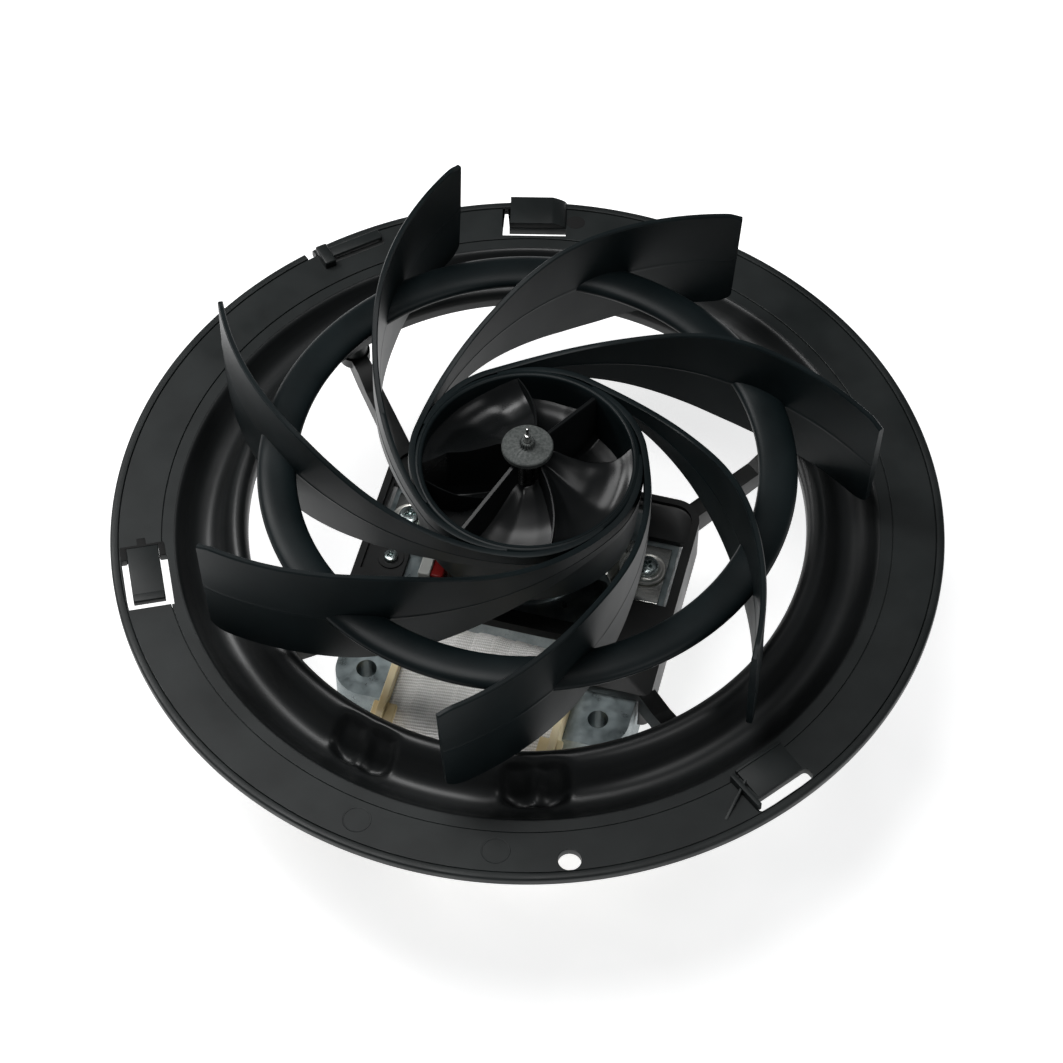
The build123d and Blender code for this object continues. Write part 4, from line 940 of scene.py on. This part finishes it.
def soft_box(name, low, high, radius, material, body):
    """Moulded block between two corners in millimetres, all edges rounded."""
    low, high = np.array(low, float), np.array(high, float)
    corners = [(0, 0, 0), (1, 0, 0), (1, 1, 0), (0, 1, 0), (0, 0, 1), (1, 0, 1), (1, 1, 1), (0, 1, 1)]
    points = low + np.array(corners, float) * (high - low)
    mesh = bpy.data.meshes.new(name)
    faces = [(3, 2, 1, 0), (4, 5, 6, 7), (0, 1, 5, 4), (1, 2, 6, 5), (2, 3, 7, 6), (3, 0, 4, 7)]
    mesh.from_pydata((points * mm).tolist(), [], faces)
    mesh.materials.append(material)
    mesh.shade_smooth()
    piece = bpy.data.objects.new(name, mesh)
    bpy.context.scene.collection.objects.link(piece)
    rounding = piece.modifiers.new("moulded_edges", "BEVEL")
    rounding.width = radius * mm
    rounding.segments = 3
    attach(piece, body)
    return piece


for side in (-1, 1):
    hand = "left" if side < 0 else "right"
    peg_x = side * 29.0
    soft_box(
        "bobbin_peg_" + hand, (peg_x - 1.5, -87.4, -26.0), (peg_x + 1.5, -82.5, -15.5), 0.8,
        cream_nylon, "frame",
    )
    soft_box(
        "bobbin_fork_" + hand, (peg_x - 3.6, -86.6, -17.0), (peg_x + 2.6, -83.2, -14.2), 0.9,
        cream_nylon, "frame",
    )
    ledge_x = peg_x - side * 1.0
    soft_box(
        "bobbin_ledge_" + hand, (ledge_x - 4.0, -84.4, -13.6), (ledge_x + 4.0, -76.0, -11.6), 0.6,
        cream_nylon, "frame",
    )

zinc_sheet = plated("zinc_sheet", (0.60, 0.64, 0.66), 0.28, 0.44, 140.0)
from_node("lead_terminals", "winding_terminals", zinc_sheet, 0.18, "frame")

# ============================================================ thermal cut-out
# Dark red moulded case clipped beside a light grey upright on top of the core.
red_case = black_moulding("red_case", (0.20, 0.010, 0.009), 0.22, 0.34, 0.008, 60.0)
grey_moulding = black_moulding("grey_moulding", (0.40, 0.41, 0.39), 0.4, 0.55, 0.02, 50.0)
from_node("cutout_case", "thermal_cutout", red_case, 0.5, "frame")
from_node("cutout_clip", "cutout_holder", grey_moulding, 0.4, "frame")

# ============================================================ bearing brackets
# Bright plated steel, pressed in one piece: flat feet on the core, smooth risers, and a bridge whose long
# edges are turned over as stiffening flanges. A domed cup in the middle holds the bearing.
bright_plate = plated("bright_plate", (0.76, 0.76, 0.72), 0.10, 0.20, 60.0)
bracket_t = 1.6
bracket_rise = 12.6
bracket_half_y = 11.5
bracket_screw_x = 41.6
bracket_screw_y = 1.0
screw_clear = 9.5
core_top_z = -20.0
core_low_z = -50.0


def pressed_bracket(name, node_name, seat_z, way):
    """Strap whose middle line follows feet, risers and bridge with rounded bends; across the strap the
    two edges drop by a flange depth that is full on the bridge and nothing on the feet."""
    corners_x = np.array([-48.0, -38.0, -33.6, -30.4, -26.0, 26.0, 30.4, 33.6, 38.0, 48.0])
    corners_z = np.array([0.0, 0.0, 0.6, 12.0, 12.6, 12.6, 12.0, 0.6, 0.0, 0.0])
    fine = np.linspace(0, 9, 400)
    path_x = np.interp(fine, np.arange(10), corners_x)
    path_z = np.interp(fine, np.arange(10), corners_z)
    kernel = np.hanning(19)
    kernel /= kernel.sum()
    path_x[9:-9] = np.convolve(path_x, kernel, "valid")
    path_z[9:-9] = np.convolve(path_z, kernel, "valid")
    edge = np.radians(np.linspace(0, 90, 8))[1:]
    flank = np.column_stack([np.full(8, -bracket_half_y), np.linspace(-1.0, -0.3, 8)])
    bend = np.column_stack([-bracket_half_y + 2.0 * (1 - np.cos(edge)), -0.3 + 0.3 * np.sin(edge)])
    half = np.vstack([flank, bend])
    flat = np.column_stack([np.linspace(-bracket_half_y + 2.2, bracket_half_y - 2.2, 24), np.zeros(24)])
    line = np.vstack([half, flat, half[::-1] * [-1, 1]])
    depth = 5.2 * np.clip((path_z - 3.0) / 7.0, 0, 1) ** 1.2 + 0.25
    top = np.zeros((400, len(line), 3))
    top[..., 0] = path_x[:, None]
    top[..., 1] = line[None, :, 0]
    top[..., 2] = seat_z + way * (bracket_t + path_z[:, None] + depth[:, None] * line[None, :, 1])
    # Each riser is drawn in round its screw: nothing of it comes nearer to the screw than screw_clear.
    near = np.sqrt(np.clip(screw_clear**2 - (top[..., 1] - bracket_screw_y) ** 2, 0, None))
    riser = (np.abs(path_x) < bracket_screw_x) * (path_z > 0.05)
    drawn = np.clip(1 - (path_z - 7.5) / 3.0, 0, 1) * riser
    wanted = np.minimum(np.abs(top[..., 0]), bracket_screw_x - near)
    pull = (np.abs(top[..., 0]) - wanted) * drawn[:, None]
    top[..., 0] -= np.sign(top[..., 0]) * pull
    under = top[:, ::-1].copy()
    under[..., 1] = np.clip(under[..., 1], bracket_t - bracket_half_y, bracket_half_y - bracket_t)
    flat_part = np.abs(top[:, ::-1, 1]) < bracket_half_y - bracket_t
    under[..., 2] -= way * np.where(flat_part, bracket_t, 0.0)
    strap = skin(name, np.concatenate([top, under], 1), close_cols=True, caps=True)
    strap.data.materials.append(bright_plate)
    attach(strap, "frame")
    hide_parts(node_name)
    bridge = seat_z + way * (bracket_rise + bracket_t)
    dome = np.array([
        (16.0, 0.0), (15.2, 0.35), (12.0, 0.5), (10.2, 1.0), (9.2, 2.4), (8.8, 3.4), (8.0, 3.9), (6.2, 4.0),
        (6.05, 3.4), (7.4, 3.0), (8.0, 2.0), (8.4, 0.4), (8.2, -1.5), (15.8, -1.2),
    ])
    dome[:, 1] = bridge + way * dome[:, 1]
    cup = skin(name + "_cup", turned(dome, 96), close_rows=True, close_cols=True)
    cup.data.materials.append(bright_plate)
    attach(cup, "frame")


pressed_bracket("bridge_top", "upper_bracket", core_top_z, 1)
pressed_bracket("bridge_low", "lower_bracket", core_low_z, -1)
bronze_bush = plated("bronze_bush", (0.48, 0.36, 0.2), 0.4, 0.55, 300.0)
from_node("bush_top", "upper_bearing", bronze_bush, 0.3, "frame")
from_node("bush_low", "lower_bearing", bronze_bush, 0.3, "frame")
oiled_felt, tree, shader = finish_of("oiled_felt", (0.3, 0.26, 0.2), 0.9)
tint(tree, noise_on(tree, 900.0, 5.0), (0.16, 0.13, 0.1), (0.4, 0.36, 0.29), shader.inputs["Base Color"])
relief(tree, shader, [(noise_on(tree, 1200.0, 5.0), 0.3)])
from_node("oil_felts", "felt_rings", oiled_felt, 0.3, "frame")
thrust_nylon = black_moulding("thrust_nylon", (0.02, 0.02, 0.02), 0.3, 0.4, 0.01, 60.0)
from_node("thrust_discs", "thrust_washers", thrust_nylon, 0.2, "wheel")

# ============================================================ bracket screws, washers and nuts
# Plated M4 pan heads with a cross recess on wide dished washers; hexagon nuts below. Two smaller cross
# recess screws hold the cradle down.
washer_zinc = plated("washer_zinc", (0.80, 0.79, 0.74), 0.26, 0.40, 160.0, 0.9)
screw_zinc = plated("screw_zinc", (0.60, 0.68, 0.67), 0.18, 0.30, 200.0)


def cross_head(centre, head_r, head_h, stem_r, stem_low):
    """Pan-head screw: a dome over a straight flank; the cross recess is cut where a point lies within the
    slot width of either slot line and inside the recess radius, its walls tapering to the floor."""
    turn = np.linspace(0, 2 * math.pi, 144, endpoint=False)
    share = np.concatenate([np.linspace(0.004, 0.60, 34), np.linspace(0.62, 1.0, 12)])
    radius = head_r * share
    px = radius[None, :] * np.cos(turn)[:, None]
    py = radius[None, :] * np.sin(turn)[:, None]
    dome = head_h * (0.62 + 0.38 * np.sqrt(np.clip(1 - share[None, :] ** 2.6, 0, 1))) + 0 * px
    slot_half = 0.15 * head_r
    reach_in = 0.56 * head_r
    far = np.maximum(np.abs(px), np.abs(py))
    near = np.minimum(np.abs(px), np.abs(py))
    cut = np.clip((slot_half - near) / (0.07 * head_r), 0, 1)
    cut = cut * np.clip((reach_in - far) / (0.16 * head_r), 0, 1)
    height = dome - 0.62 * head_h * cut
    lower = [(head_r, 0.12), (head_r - 0.12, 0.0), (stem_r, 0.0), (stem_r, stem_low), (0.01, stem_low)]
    grid = np.zeros((144, len(share) + len(lower), 3))
    grid[:, :len(share), 0] = px
    grid[:, :len(share), 1] = py
    grid[:, :len(share), 2] = height
    for row, (r, z) in enumerate(lower):
        grid[:, len(share) + row, 0] = r * np.cos(turn)
        grid[:, len(share) + row, 1] = r * np.sin(turn)
        grid[:, len(share) + row, 2] = z
    return grid + np.array(centre)


def rotate_about(grid, centre, degrees_round):
    """The grid turned about an upright line through a centre."""
    a = math.radians(degrees_round)
    spun = grid - np.array(centre)
    x, y = spun[..., 0].copy(), spun[..., 1].copy()
    spun[..., 0] = x * math.cos(a) - y * math.sin(a)
    spun[..., 1] = x * math.sin(a) + y * math.cos(a)
    return spun + np.array(centre)


washer_line = np.array([
    (2.3, 0.0), (6.2, 0.0), (6.5, 0.2), (6.5, 0.75), (6.2, 1.05), (5.6, 1.1), (5.2, 0.85), (4.4, 0.80),
    (4.1, 1.0), (3.6, 1.2), (2.3, 1.2),
])
for number, x in enumerate((-bracket_screw_x, bracket_screw_x)):
    washer_grid = turned(washer_line, 96) + np.array((x, bracket_screw_y, core_top_z + 1.8))
    washer_name = "dished_washer_%d" % (number + 1)
    dished_washer = skin(washer_name, washer_grid, close_rows=True, close_cols=True)
    dished_washer.data.materials.append(washer_zinc)
    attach(dished_washer, "frame")
    seat = (x, bracket_screw_y, core_top_z + 3.0)
    head_grid = rotate_about(cross_head(seat, 3.9, 2.6, 2.05, -38.4), seat, 20 + 40 * number)
    pan_screw = skin("bracket_screw_%d" % (number + 1), head_grid, close_rows=True)
    pan_screw.data.materials.append(screw_zinc)
    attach(pan_screw, "frame")
    if number == 0:
        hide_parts("bracket_washers")
        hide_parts("bracket_screws")
for number, y in enumerate((-16.5, 19.0)):
    seat = (-43.6, y, core_top_z + 3.0)
    head_grid = rotate_about(cross_head(seat, 2.45, 1.7, 1.45, -10.5), seat, 31 * (number + 1))
    tray_screw = skin("tray_screw_%d" % (number + 1), head_grid, close_rows=True)
    tray_screw.data.materials.append(screw_zinc)
    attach(tray_screw, "frame")
    if number == 0:
        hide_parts("cradle_screws")
from_node("arm_bolts", "arm_screws", screw_zinc, 0.4, "frame")
from_node("hex_nuts", "bracket_nuts", screw_zinc, 0.35, "frame")

# ============================================================ floor, light and camera
# Pale matt floor under the motor, a large soft panel overhead and two gentle side panels; the camera
# looks down on the front of the unit.
floor_z = -0.072
floor_corners = [(-3, -3, floor_z), (3, -3, floor_z), (3, 3, floor_z), (-3, 3, floor_z)]
floor_mesh = bpy.data.meshes.new("studio_floor")
floor_mesh.from_pydata(floor_corners, [], [(0, 1, 2, 3)])
studio_floor = bpy.data.objects.new("studio_floor", floor_mesh)
bpy.context.scene.collection.objects.link(studio_floor)
floor_white, tree, shader = finish_of("floor_white", (0.86, 0.86, 0.86), 0.8)
tint(tree, noise_on(tree, 20.0, 2.0), (0.85, 0.85, 0.85), (0.87, 0.87, 0.87), shader.inputs["Base Color"])
shader.inputs["Emission Color"].default_value = (1.0, 1.0, 1.0, 1)
shader.inputs["Emission Strength"].default_value = 0.72
floor_mesh.materials.append(floor_white)

world = bpy.data.worlds.new("studio")
world.use_nodes = True
world.node_tree.nodes["Background"].inputs["Color"].default_value = (0.92, 0.96, 1.0, 1)
world.node_tree.nodes["Background"].inputs["Strength"].default_value = 0.12
bpy.context.scene.world = world


def soft_panel(name, place, aim, size, power):
    """Round area light at a place in metres, facing an aim point."""
    light = bpy.data.lights.new(name, "AREA")
    light.shape = "DISK"
    light.size = size
    light.energy = power
    lamp = bpy.data.objects.new(name, light)
    bpy.context.scene.collection.objects.link(lamp)
    lamp.location = place
    ray = np.array(aim) - np.array(place)
    pitch = math.atan2(math.hypot(ray[0], ray[1]), -ray[2])
    lamp.rotation_euler = (pitch, 0, math.atan2(-ray[0], ray[1]))


soft_panel("overhead", (-0.25, 0.0, 1.3), (0, 0, 0), 0.7, 8.0)
soft_panel("left_key", (-0.50, 0.10, 0.50), (-0.06, 0, 0), 0.30, 2.2)
soft_panel("right_fill", (0.9, -0.5, 0.9), (0, 0, 0), 0.5, 2.2)

camera_azimuth = math.radians(14.6)
camera_height = math.radians(54.15)
camera_reach = 1.099
sensor = 36
frame_side = 1063
camera = bpy.data.objects.new("camera", bpy.data.cameras.new("camera"))
bpy.context.scene.collection.objects.link(camera)
camera.location = (
    camera_reach * math.cos(camera_height) * math.sin(camera_azimuth),
    -camera_reach * math.cos(camera_height) * math.cos(camera_azimuth),
    camera_reach * math.sin(camera_height),
)
camera.rotation_euler = (math.pi / 2 - camera_height, 0, camera_azimuth)
camera.data.sensor_width = sensor
camera.data.lens = sensor * 3270.3 / frame_side
camera.data.shift_x = 4.09 / frame_side
camera.data.shift_y = -15.6 / frame_side
bpy.context.scene.camera = camera
bpy.context.scene.view_settings.view_transform = "Standard"
